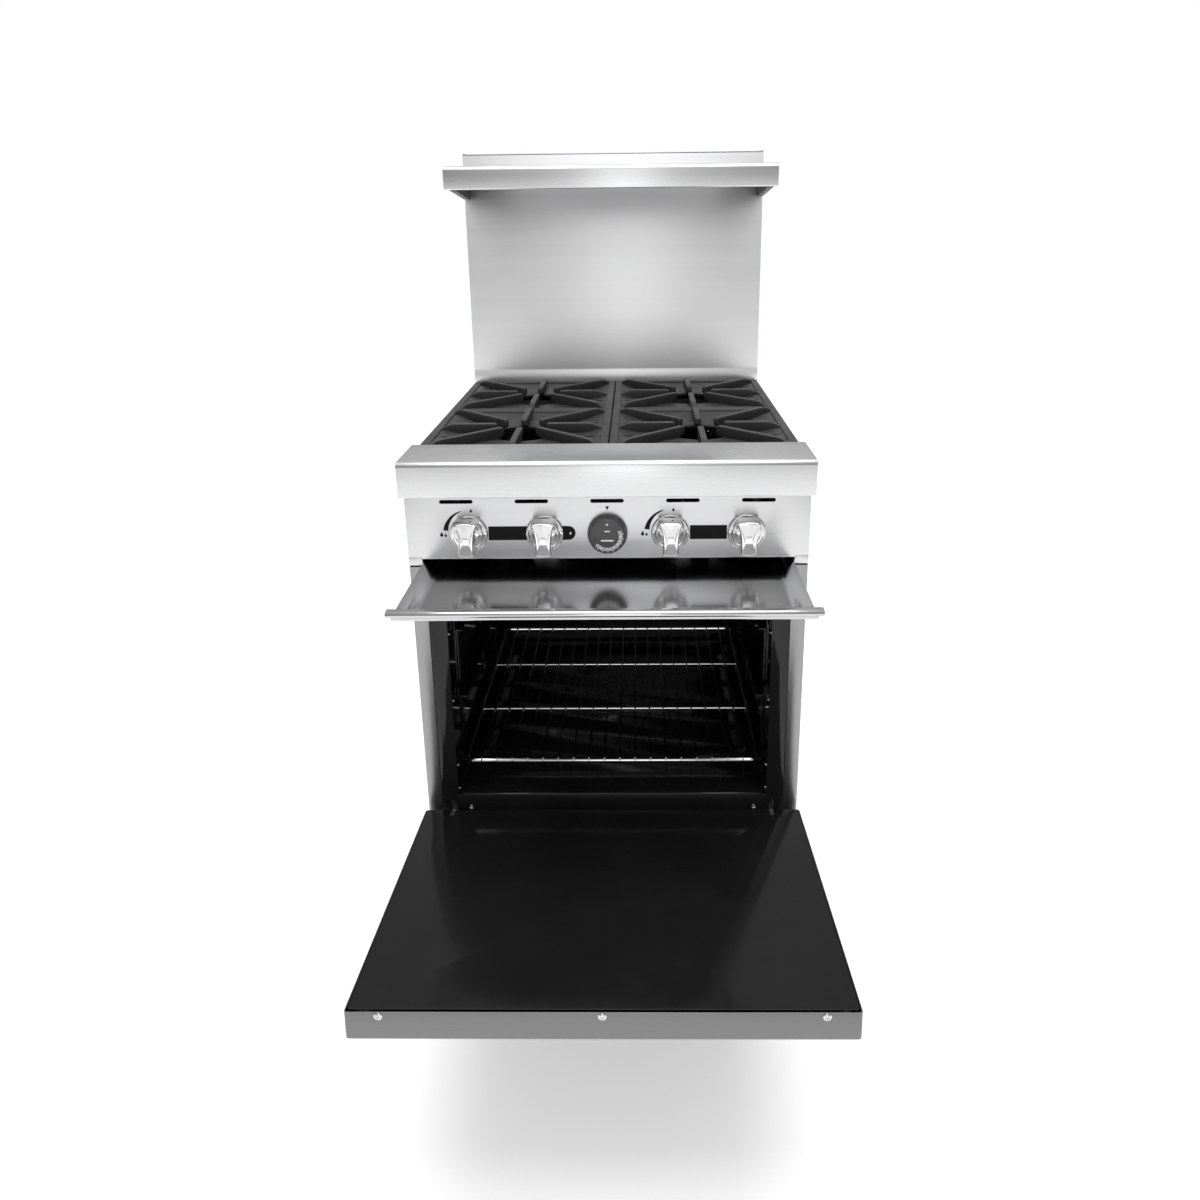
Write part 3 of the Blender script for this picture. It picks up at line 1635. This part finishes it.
@dataclass
class Oven:
    """The black face, the enamelled cavity behind it, the rack guides and the rack."""

    opening_half: float = 0.2515
    opening_low: float = 0.340
    opening_high: float = 0.699
    corner: float = 0.006
    levels: tuple[float, ...] = (0.386, 0.504, 0.622)
    back_slots: int = 14
    slot_rows: int = 6
    slot_x: float = 0.218
    screw_levels: tuple[float, ...] = (0.345, 0.388, 0.507, 0.624, 0.680)

    def build(self) -> None:
        """Makes every piece of the oven that is not on the door."""
        self.face()
        self.liner()
        self.floor()
        left = self.guide()
        right = left.mirrored("guide_right")
        left.fit(Body.RANGE, Slot.CHROME, Looks.GUIDE, ["rack_guide_left"])
        right.fit(Body.RANGE, Slot.CHROME, Looks.GUIDE, ["rack_guide_right"])
        self.screws()
        WireRack().build()
        dress_node("oven_insulation", Looks.WOOL)
        dress_node("oven_burner", Looks.BURNER_IRON)

    def face(self) -> None:
        """The enamelled frame round the mouth, with its mouth turned inwards."""
        low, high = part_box("oven_face_frame")
        sheet = Stock.block("oven_face", low, (high.x, low.y + SHEET, high.z))
        mouth = Stock.block("mouth", (-self.opening_half, low.y - 0.01, self.opening_low),
                            (self.opening_half, high.y + 0.01, self.opening_high))
        mouth.round_edges(lambda _, way: abs(way.y) > 0.9, self.corner, 5)
        tools = [mouth]
        for side in (-1, 1):
            tools.append(Stock.block("hinge_slot", (side * 0.261 - 0.005, low.y - 0.01, low.z - 0.001),
                                     (side * 0.261 + 0.005, high.y + 0.01, 0.314)))
        sheet.cut(*tools).soften(0.0005)
        sheet.fit(Body.RANGE, Slot.ENAMEL, Looks.ENAMEL, ["oven_face_frame"])

    def liner(self) -> None:
        """The cavity: sides, roof and back folded from sheet with rounded inner corners, open below."""
        low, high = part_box("oven_liner")
        inner_low = Vector((low.x + SHEET, low.y, low.z))
        inner_high = Vector((high.x - SHEET, high.y - SHEET, high.z - SHEET))
        shell = Stock.block("oven_cavity", inner_low, inner_high)
        shell.delete_faces(lambda at, way: way.y < -0.9 or way.z < -0.9)
        shell.round_edges(lambda at, way: at.y > low.y + 1e-4 and at.z > low.z + 1e-4, self.corner, 5)
        shell.thicken(SHEET - 0.0001, (0, 1, 0.2))
        louvres = []
        back = inner_high.y
        for number in range(self.back_slots):
            x = -0.060 + number * 0.0125
            bulge = Stock.block("louvre", (x - 0.0042, back - 0.0024, 0.3435),
                                (x + 0.0042, back + 0.0002, 0.3525))
            with editing(bulge.obj):
                bulge.select(Pick.FACES, lambda at, way: way.y < -0.9)
                bpy.ops.transform.resize(value=(0.8, 1, 0.45), center_override=(x, back, 0.351))
            louvres.append(bulge.soften(0.0006))
        shell.gather(louvres).fit(Body.RANGE, Slot.ENAMEL, Looks.ENAMEL, ["oven_liner"])

    def floor(self) -> None:
        """The slotted floor, whose front edge rolls down."""
        low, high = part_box("oven_floor")
        profile = [(low.x + REVEAL, low.y, low.z), (low.x + REVEAL, low.y, high.z),
                   (low.x + REVEAL, high.y, high.z)]
        sheet = folded("oven_base", profile, (high.x - low.x - 2 * REVEAL, 0, 0), (0, 1, -1), {1: 0.005},
                       soft=0.0)
        slots = []
        for row in range(self.slot_rows):
            y = low.y + 0.06 + row * 0.080
            for side in (-1, 1):
                x = side * self.slot_x
                slot = Stock.block("slot", (x - 0.005, y, high.z - 0.01),
                                   (x + 0.005, y + 0.055, high.z + 0.01))
                slots.append(slot.round_edges(lambda _, way: abs(way.z) > 0.9, 0.0048))
        sheet.cut(*slots).soften(0.0004)
        sheet.fit(Body.RANGE, Slot.ENAMEL, Looks.ENAMEL, ["oven_floor"])

    def guide(self) -> Stock:
        """The left guide: two uprights and a bent ledge for each rack level.

        Returns:
            The left guide.
        """
        low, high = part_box("rack_guide_left")
        plate_x = low.x + 0.0016
        uprights = []
        for y in (low.y + 0.03, (low.y + high.y) / 2, high.y - 0.03):
            strap = Stock.block("guide_left" if not uprights else "strap", (low.x, y - 0.009, low.z),
                                (plate_x, y + 0.009, high.z))
            uprights.append(strap.round_edges(lambda _, way: abs(way.x) > 0.9, 0.006))
        ledges = []
        for level in self.levels:
            top = level - 0.0039
            profile = [(low.x + 0.0004, low.y, top + 0.016), (low.x + 0.0004, low.y, top),
                       (high.x, low.y, top)]
            ledge = folded("ledge", profile, (0, high.y - low.y, 0), (1, 0, 1), {1: 0.003}, thickness=0.0012)
            ledges.append(ledge.shift((0, 0, -0.0012)))
        first, *others = uprights
        return first.gather([*others, *ledges])

    def screws(self) -> None:
        """The liner's screws along its front edges, and two below the mouth."""
        face_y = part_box("oven_face_frame")[0].y
        spots = []
        for side in (-1, 1):
            for z in self.screw_levels:
                spots.append(((side * (self.opening_half - 0.0002), face_y + 0.014, z), (-side, 0, 0)))
            spots.append(((side * 0.232, face_y + 0.0002, 0.3185), (0, -1, 0)))
        screws = PanScrews(radius=0.0032, height=0.0013, recess=0.0007).place("liner_screws", spots)
        screws.fit(Body.RANGE, Slot.CHROME, Looks.SCREW)


@dataclass
class WireRack:
    """The oven rack: two side rails and four cross rods under eighteen wires with turned-down ends."""

    rail_x: float = 0.2415
    rail_radius: float = 0.0035
    rod_rows: tuple[float, ...] = (0.058, 0.223, 0.393, 0.556)
    row_zero: float = -0.179513
    wires: int = 18
    wire_radius: float = 0.0014
    pitch: float = 0.0255

    def build(self) -> None:
        """Bends one wire, copies it along the rack and adds the rods."""
        low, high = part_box("oven_rack")
        rail_z = (low.z + high.z) / 2 - 0.0018
        front, back = self.row_zero + self.rod_rows[0], self.row_zero + self.rod_rows[-1]
        corner = self.rail_x
        loop = [
            (-corner, front, rail_z), (corner, front, rail_z), (corner, back, rail_z),
            (-corner, back, rail_z), ]
        frame_wire = Stock.line("rack_wires", loop, {number: 0.012 for number in range(4)}, closed=True)
        frame_wire.wire(self.rail_radius - 0.0003, 3)
        parts = []
        for row in self.rod_rows[1:-1]:
            y = self.row_zero + row
            parts.append(Stock.rod("cross_rod", (-corner, y, rail_z), (corner, y, rail_z),
                                   self.rail_radius - 0.0006, 12))
        top = high.z - self.wire_radius
        drop = self.rail_radius + self.wire_radius - 0.0004
        bent = [
            (0, low.y + self.wire_radius + 0.0002, rail_z), (0, low.y + self.wire_radius + 0.0002, top),
            (0, high.y - self.wire_radius - 0.0002, top), (0, high.y - self.wire_radius - 0.0002, rail_z),
        ]
        master = Stock.line("wire", bent, {1: drop * 0.7, 2: drop * 0.7}).wire(self.wire_radius, 2)
        for number in range(self.wires):
            x = (number - (self.wires - 1) / 2) * self.pitch
            parts.append(master.copy("wire_copy", (x, 0, 0)))
        bpy.data.objects.remove(master.obj)
        frame_wire.gather(parts).fit(Body.RACK, Slot.CHROME, Looks.WIRE, ["oven_rack"])


# ---- Door ----


@dataclass
class Door:
    """The oven door, modelled shut and then let down: a folded shell, an enamelled plate and a handle."""

    open_angle: float = 84.6
    fold: float = 0.004
    bar_radius: float = 0.010
    bar_height: float = 0.368
    bar_reach: float = 0.058
    post_x: float = 0.205
    half: float = 0.305
    height: float = 0.430
    hinge_x: float = 0.261
    screw_columns: tuple[float, ...] = (-0.264, 0.0, 0.263)

    def build(self) -> None:
        """Makes the door's pieces about its hinge, then turns them to rest."""
        joint = next(item for item in frame["joints"] if item["name"] == "oven_door_hinge")
        self.pivot = Vector(joint["pos_m"])
        self.shell()
        self.inner_plate()
        self.handle()
        for side in ("left", "right"):
            dress_node(f"door_hinge_{side}", Looks.ZINC)

    def at(self, x: float, out: float, up: float) -> Vector:
        """A point on the shut door, from its distance in front of the hinge and above it."""
        return self.pivot + Vector((x, -out, up))

    def lower(self, piece: Stock) -> Stock:
        """Lets a shut piece down to where the open door rests."""
        return piece.turn(self.open_angle, "X", self.pivot)

    def shell(self) -> None:
        """The outer sheet: a tray with rounded folds and two notches for the hinges."""
        low, high = self.at(-self.half, 0.020, -0.011), self.at(self.half, -0.0182, self.height)
        sheet = Stock.block("door_shell", low, high)
        inner_y = self.pivot.y + 0.0182
        sheet.delete_faces(lambda at, way: way.y > 0.9)
        sheet.round_edges(lambda at, way: at.y < inner_y - 1e-4, self.fold, 5)
        sheet.thicken(SHEET, (0, 1, 0))
        notches = []
        for side in (-1, 1):
            x = side * self.hinge_x
            low = self.at(x - 0.0052, 0.0, -0.013)
            high = self.at(x + 0.0052, -0.03, 0.0085)
            notches.append(Stock.block("notch", low, high))
        sheet.cut(*notches).soften(REVEAL)
        self.lower(sheet).fit(Body.DOOR, Slot.STAINLESS, Looks.DOOR, ["door_outer_panel"])
        spots = []
        for x in self.screw_columns:
            spots.append((self.at(x, -0.013, self.height), (0, 0, 1)))
        screws = PanScrews(radius=0.005, height=0.0024, recess=0.0012).place("door_screws", spots)
        self.lower(screws).fit(Body.DOOR, Slot.CHROME, Looks.SCREW)

    def inner_plate(self) -> None:
        """The enamelled plate inside the door, with a raised middle and rounded corners."""
        half, low_edge, top_edge = 0.302, -0.008, 0.427
        face = -0.0200
        plate_back = -0.0184
        outline = [self.at(-half, plate_back, low_edge), self.at(half, plate_back, low_edge),
                   self.at(half, plate_back, top_edge), self.at(-half, plate_back, top_edge)]
        inner = plate("door_plate", outline, (0, plate_back - face, 0),
                      {number: 0.004 for number in range(4)})
        inner.soften(0.0006)
        notches = []
        for side in (-1, 1):
            x = side * self.hinge_x
            notches.append(Stock.block("notch", self.at(x - 0.0052, 0.0, -0.013),
                                       self.at(x + 0.0052, -0.03, 0.0085)))
        inner.cut(*notches)
        self.lower(inner).fit(Body.DOOR, Slot.ENAMEL, Looks.DOOR_ENAMEL, ["door_inner_panel"])

    def handle(self) -> None:
        """A round bar with capped ends on two flared posts."""
        half = 0.235
        bar = Stock.turned(
            "door_handle_bar",
            [(0, -half), (self.bar_radius - 0.0012, -half), (self.bar_radius, -half + 0.0012),
             (self.bar_radius, -half + 0.016),
             (self.bar_radius - 0.0004, -half + 0.0164), (self.bar_radius - 0.0004, half - 0.0164),
             (self.bar_radius, half - 0.016),
             (self.bar_radius, half - 0.0012), (self.bar_radius - 0.0012, half), (0, half)],
            self.at(0, self.bar_reach, self.bar_height), (1, 0, 0), steps=40,
        )
        posts = []
        for side in (-1, 1):
            foot = self.at(side * self.post_x, 0.0199, self.bar_height)
            reach = self.bar_reach - 0.0199
            posts.append(Stock.turned(
                "post", [(0, 0), (0.0115, 0), (0.0115, 0.002), (0.007, 0.006), (0.007, reach - 0.012),
                         (0.0082, reach - 0.004), (0, reach - 0.002)],
                foot, (0, -1, 0), steps=32, radii={2: 0.0008, 3: 0.002, 4: 0.003},
            ))
        bar.gather(posts)
        self.lower(bar).fit(Body.DOOR, Slot.STAINLESS, Looks.HANDLE, ["door_handle"])


# ---- Cooktop ----


@dataclass
class Grate:
    """A cast grate about its own middle at the height of the rib tops, copied to its four places."""

    half_x: float = 0.150
    half_y: float = 0.14275
    rim: float = 0.014
    rim_top: float = -0.008
    rim_bottom: float = -0.026
    hole: float = 0.053
    hole_drop: float = -0.0185
    dish: float = -0.0012
    bowl_wall: float = 0.005
    steps: int = 48
    rib_foot: float = -0.0225
    tip_foot: float = -0.0135
    edge: float = 0.0016
    bowl_rings: int = 7
    corner_tip: float = 0.040
    side_tip: float = 0.042
    end_tip: float = 0.030
    rib_width: float = 0.009
    end_width: float = 0.0105

    def model(self) -> Stock:
        """Joins the frame, the bowl and every rib into one casting.

        Returns:
            The whole grate.
        """
        reach = math.hypot(self.half_x - self.rim, self.half_y - self.rim) + 0.004
        diagonal = math.degrees(math.atan2(self.half_y - self.rim, self.half_x - self.rim))
        casting = self.frame()
        parts = [self.bowl()]
        for angle in (diagonal, -diagonal, 180 - diagonal, 180 + diagonal):
            parts.append(self.rib(reach, self.corner_tip, self.rib_width, angle, self.rim_top - 0.001))
        for angle in (0, 180):
            side_reach = self.half_x - self.rim + 0.004
            parts.append(self.rib(side_reach, self.side_tip, self.rib_width, angle, self.rim_top - 0.001))
        for angle in (90, -90):
            parts.append(self.rib(self.half_y - 0.002, self.end_tip, self.end_width, angle, -0.005))
        for side in (-1, 1):
            for end in (-1, 1):
                parts.append(self.web(side, end))
        return casting.gather(parts)

    def frame(self) -> Stock:
        """The flat rim, with rounded corners inside and eased edges.

        Returns:
            The rim.
        """
        rim = Stock.block("grate_master", (-self.half_x, -self.half_y, self.rim_bottom),
                          (self.half_x, self.half_y, self.rim_top))
        rim.round_edges(lambda _, way: abs(way.z) > 0.9, 0.003)
        inner_x, inner_y = self.half_x - self.rim, self.half_y - self.rim
        window = Stock.block("window", (-inner_x, -inner_y, -0.1), (inner_x, inner_y, 0.1))
        window.round_edges(lambda _, way: abs(way.z) > 0.9, 0.012)
        return rim.cut(window).soften(self.edge, 3)

    def square_ring(self, inset: float, z: float) -> list[Vector]:
        """Points round the inside of the rim, at even angles.

        Args:
            inset: how far inside the outer edge the ring runs.
            z: its height.

        Returns:
            The points in order.
        """
        points = []
        for step in range(self.steps):
            angle = (step + 0.5) * FULL_TURN / self.steps
            across, deep = abs(math.cos(angle)), abs(math.sin(angle))
            reach = min((self.half_x - inset) / across, (self.half_y - inset) / deep)
            points.append(Vector((reach * math.cos(angle), reach * math.sin(angle), z)))
        return points

    def bowl(self) -> Stock:
        """The dished bowl between the rim and the round hole.

        Returns:
            The bowl.
        """
        top = self.rim_top - 0.002
        outer = Stock.line("bowl", self.square_ring(self.rim - 0.003, top), closed=True)
        circle = []
        for step in range(self.steps):
            angle = (step + 0.5) * FULL_TURN / self.steps
            circle.append(Vector((self.hole * math.cos(angle), self.hole * math.sin(angle), self.hole_drop)))
        outer.gather([Stock.line("hole", circle, closed=True)])
        rings = self.bowl_rings
        with editing(outer.obj):
            outer.select(Pick.EDGES, lambda at, way: True)
            bpy.ops.mesh.bridge_edge_loops(number_cuts=rings - 1)
            for ring in range(1, rings):
                part = ring / rings
                level = top + (self.hole_drop - top) * part
                outer.select(Pick.POINTS, lambda at, _: abs(at.z - level) < 2e-4)
                bpy.ops.transform.translate(value=(0, 0, self.dish * math.sin(math.pi * part)))
            bpy.ops.mesh.select_all(action="SELECT")
            bpy.ops.mesh.normals_make_consistent(inside=False)
        outer.thicken(self.bowl_wall, (0, 0, -1))
        return outer.soften(0.0012, 2, angle=50)

    def rib(self, outer: float, tip: float, width: float, angle: float, start: float) -> Stock:
        """A rib that runs inwards to its tip over the burner, drawn from the side and turned to its place.

        Args:
            outer: how far from the middle it starts.
            tip: how far from the middle it ends.
            width: its thickness across.
            angle: its direction from +X, in degrees.
            start: the height of its outer end.

        Returns:
            The rib.
        """
        foot_start = -self.hole - 0.012
        side = [
            (-outer, -width / 2, start), (-outer, -width / 2, start - 0.010),
            (foot_start, -width / 2, self.rib_foot),
            (-tip, -width / 2, self.tip_foot), (-tip, -width / 2, 0), (-outer + 0.022, -width / 2, 0),
        ]
        rib = plate("rib", side, (0, width, 0), {2: 0.008, 3: 0.003, 4: 0.0045, 5: 0.006})
        return rib.soften(self.edge, 3, angle=50).turn(angle, "Z", (0, 0, 0))

    def web(self, side: int, end: int) -> Stock:
        """A low bent rib between the rim and the bowl, beside each side rib.

        Args:
            side: -1 for left or 1 for right.
            end: -1 for front or 1 for rear.

        Returns:
            The web.
        """
        start_x, y = self.half_x - self.rim + 0.002, 0.047
        knee_x, half = self.half_x - 0.040, 0.0028
        outline = [
            (side * start_x, end * (y - half), -0.0105), (side * knee_x, end * (y - half), -0.0105),
            (side * (knee_x - 0.016), end * (y + 0.018 - half), -0.0105),
            (side * (knee_x - 0.012), end * (y + 0.018 + half), -0.0105),
            (side * (knee_x + 0.003), end * (y + half), -0.0105), (side * start_x, end * (y + half), -0.0105),
        ]
        web = plate("web", outline, (0, 0, -0.0085), {1: 0.005, 4: 0.005})
        return web.soften(0.0012, 2)


@dataclass
class Cooktop:
    """The four grates, the burner heads under them, the pilot lights and the ledge in front."""

    ports: int = 40
    port_radius: float = 0.0013
    pilot_radius: float = 0.0475
    pilot_run_z: float = 0.832
    pilots: tuple[tuple[str, float], ...] = (
        ("front_left", 0.037), ("front_right", 0.019), ("front_right", -0.036), ("rear_left", -0.037),
        ("rear_right", 0.035), )

    def build(self) -> None:
        """Makes one grate and one burner head, then copies them to the four places."""
        grate = Grate().model()
        head = self.head()
        for corner in CORNERS:
            low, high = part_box(f"grate_{corner}")
            centre = Vector(((low.x + high.x) / 2, (low.y + high.y) / 2, high.z))
            casting = grate.copy(f"grate_casting_{corner}", centre)
            casting.fit(f"grate_{corner}", Slot.CAST_IRON, Looks.IRON, [f"grate_{corner}"])
            low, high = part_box(f"burner_head_{corner}")
            centre = Vector(((low.x + high.x) / 2, (low.y + high.y) / 2, low.z))
            cap = head.copy(f"burner_cap_{corner}", centre)
            cap.fit(f"burner_head_{corner}", Slot.CAST_IRON, Looks.BURNER_IRON, [f"burner_head_{corner}"])
            dress_node(f"burner_venturi_{corner}", Looks.BURNER_IRON)
        bpy.data.objects.remove(grate.obj)
        bpy.data.objects.remove(head.obj)
        self.pilot_lights()
        BullnoseShelf("landing_ledge", Looks.SHELF).build()
        dress_node("cooktop_frame", Looks.IRON)

    def head(self) -> Stock:
        """A lift-off burner head with a ring of ports under its crown, standing on the origin.

        Returns:
            The head.
        """
        radius, height = 0.042, 0.024
        head = Stock.turned(
            "burner_cap_master",
            [(0, 0.0003), (radius - 0.002, 0.0003), (radius, 0.002), (radius, 0.0135),
             (radius - 0.0025, 0.0155),
             (radius - 0.0035, 0.0185), (0.036, 0.0213), (0.020, height - 0.0006), (0.014, height - 0.0012),
             (0.009, height - 0.0028), (0, height - 0.003)],
            (0, 0, 0), (0, 0, 1), steps=72, radii={3: 0.001, 6: 0.002, 7: 0.003, 8: 0.002},
        )
        rods = []
        for number in range(self.ports):
            angle = number * FULL_TURN / self.ports
            way = Vector((math.cos(angle), math.sin(angle), 0.12))
            inner, outer = (way * (radius + reach) + Vector((0, 0, 0.003)) for reach in (-0.004, 0.004))
            rods.append(Stock.rod("port", inner, outer, self.port_radius, 10))
        return head.cut(*rods)

    def pilot_lights(self) -> None:
        """Small bright tips in the grate holes, each fed by a thin tube from the manifold."""
        pipe_low, pipe_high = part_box("gas_manifold")
        pipe_y = pipe_low.y + (pipe_high.z - pipe_low.z) / 2
        for number, (corner, across) in enumerate(self.pilots, start=1):
            low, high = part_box(f"burner_head_{corner}")
            x = (low.x + high.x) / 2 + across
            y = (low.y + high.y) / 2 - math.sqrt(self.pilot_radius ** 2 - across ** 2)
            tube = Stock.line(
                f"pilot_{number}",
                [(x, y, high.z + 0.002), (x, y, self.pilot_run_z), (x, pipe_y, self.pilot_run_z),
                 (x, pipe_y, pipe_high.z - 0.002)],
                {1: 0.012, 2: 0.012},
            ).wire(0.0018)
            tip = Stock.turned(
                "pilot_tip",
                [(0, 0), (0.0032, 0), (0.0032, 0.006), (0.0024, 0.0075), (0.0024, 0.010), (0.0036, 0.0105),
                 (0.0036, 0.0125), (0.0015, 0.0145), (0, 0.0145)],
                (x, y, high.z - 0.004), (0, 0, 1), steps=24, radii={7: 0.0008},
            )
            tube.gather([tip]).fit(Body.RANGE, Slot.CHROME, Looks.CHROME)


# ---- Gas parts that keep their CAD shape ----


def dress_gas_parts() -> None:
    """Finishes the gas parts and runners that keep their own shapes."""
    for number in range(1, 5):
        dress_node(f"burner_valve_{number}", Looks.BRASS)
    dress_node("oven_thermostat", Looks.BRASS)
    dress_node("gas_manifold", Looks.BLACK)
    for side in ("left", "right"):
        dress_node(f"tray_runner_{side}", Looks.ZINC)


# ---- Studio ----


@dataclass
class Studio:
    """A pale floor, a soft grey room and broad lights, with the camera."""

    floor_half: float = 14.0
    camera_place: Triple = (0.0465, -1.4747, 1.2695)
    lens: float = 28.01
    pitch: float = 16.485
    yaw: float = 0.908
    roll: float = -0.664
    shift: tuple[float, float] = (-0.02, -0.1)
    room_stops: tuple[tuple[float, float], ...] = (
        (0.0, 0.9), (0.47, 0.85), (0.52, 0.58), (0.62, 0.60), (0.80, 1.0), (1.0, 1.2),
    )
    wall_fade: tuple[float, float] = (0.12, 0.75)
    wall_shade: float = 0.42

    def build(self) -> None:
        """Sets the whole scene up."""
        self.floor()
        self.world()
        self.lights()
        self.camera()
        bpy.context.scene.view_settings.view_transform = "Standard"

    def floor(self) -> None:
        """A pale sheet of floor."""
        deselect_all()
        bpy.ops.mesh.primitive_plane_add(size=self.floor_half * 2, location=(0, 0, -0.0005))
        floor = bpy.context.object
        floor.name = "floor"
        material = new_material("studio_floor")
        desk = ShaderDesk(material.node_tree)
        mottle = desk.noise(desk.place(), 3.0, 3)
        desk.set("Base Color", desk.blend(mottle, (0.94, 0.94, 0.94), (0.96, 0.96, 0.96)))
        desk.set("Roughness", 0.9)
        desk.set("Emission Color", (1, 1, 1, 1))
        desk.set("Emission Strength", 0.32)
        floor.data.materials.append(material)

    def world(self) -> None:
        """White to the camera, and a grey room with a darker middle band to everything else."""
        world = bpy.data.worlds.new("studio")
        bpy.context.scene.world = world
        world.use_nodes = True
        world.node_tree.nodes.clear()
        desk = ShaderDesk(world.node_tree)
        way = desk.add("ShaderNodeTexCoord", {}, {}).out("Generated")
        parts = desk.add("ShaderNodeSeparateXYZ", {}, {"Vector": way})
        height = (parts.out("Z") + 1) / 2
        shade = desk.add("ShaderNodeValToRGB", {"stops": self.room_stops}, {"Fac": height}).out("Color")
        beside = desk.add("ShaderNodeMath", {"operation": "ABSOLUTE"}, {0: parts.out("X")}).out("Value")
        start, end = self.wall_fade
        fade = {"Value": beside, "From Min": start, "From Max": end, "To Min": 1.0, "To Max": self.wall_shade}
        walls = desk.add("ShaderNodeMapRange", {"interpolation_type": "SMOOTHSTEP"}, fade).out("Result")
        tinted = desk.add("ShaderNodeVectorMath", {"operation": "SCALE"},
                          {0: shade, "Scale": walls}).out("Vector")
        room = desk.add("ShaderNodeBackground", {}, {"Color": tinted}).out("Background")
        white = desk.add("ShaderNodeBackground", {}, {"Color": (1, 1, 1, 1)}).out("Background")
        seen = desk.add("ShaderNodeLightPath", {}, {}).out("Is Camera Ray")
        mix = desk.add("ShaderNodeMixShader", {}, {0: seen, 1: room, 2: white}).out("Shader")
        desk.add("ShaderNodeOutputWorld", {}, {"Surface": mix})

    def lights(self) -> None:
        """A broad overhead light, and a tall softbox in front."""
        self.softbox("overhead", (0, -0.4, 3.4), (0, 0.1, 0.8), (3.2, 2.6), 85)
        self.softbox("front", (0.1, -4.6, 1.55), (0.1, 0, 1.55), (1.1, 3.0), 12)

    def softbox(self, name: str, place: Triple, towards: Triple, size: tuple[float, float],
                power: float) -> None:
        """A rectangular light that faces a point.

        Args:
            name: the name of the light.
            place: its middle.
            towards: the point that it faces.
            size: its width and height.
            power: its power in watts.
        """
        deselect_all()
        bpy.ops.object.light_add(type="AREA", location=place)
        lamp = bpy.context.object
        lamp.name = name
        lamp.data.shape = "RECTANGLE"
        lamp.data.size, lamp.data.size_y = size
        lamp.data.energy = power
        lamp.rotation_euler = (Vector(towards) - Vector(place)).to_track_quat("-Z", "Y").to_euler()

    def camera(self) -> None:
        """The camera, in front of the range and a little above it."""
        deselect_all()
        bpy.ops.object.camera_add()
        camera = bpy.context.object
        camera.name = "camera"
        camera.data.lens = self.lens
        camera.data.shift_x, camera.data.shift_y = self.shift
        turn = (
            Matrix.Rotation(math.radians(self.yaw), 4, "Z")
            @ Matrix.Rotation(math.radians(90 - self.pitch), 4, "X")
            @ Matrix.Rotation(math.radians(self.roll), 4, "Z")
        )
        camera.matrix_world = Matrix.Translation(self.camera_place) @ turn
        bpy.context.scene.camera = camera


def main() -> None:
    """Builds the range from its sub-assemblies in order, then the studio."""
    logging.basicConfig(level=logging.INFO, format="%(name)s: %(message)s")
    for part in (Carcass(), Riser(), Cooktop(), ControlPanel(), CrumbTray(), Oven(), Door()):
        LOG.info("building %s", type(part).__name__)
        part.build()
    dress_gas_parts()
    Studio().build()


if __name__ == "__main__":
    main()
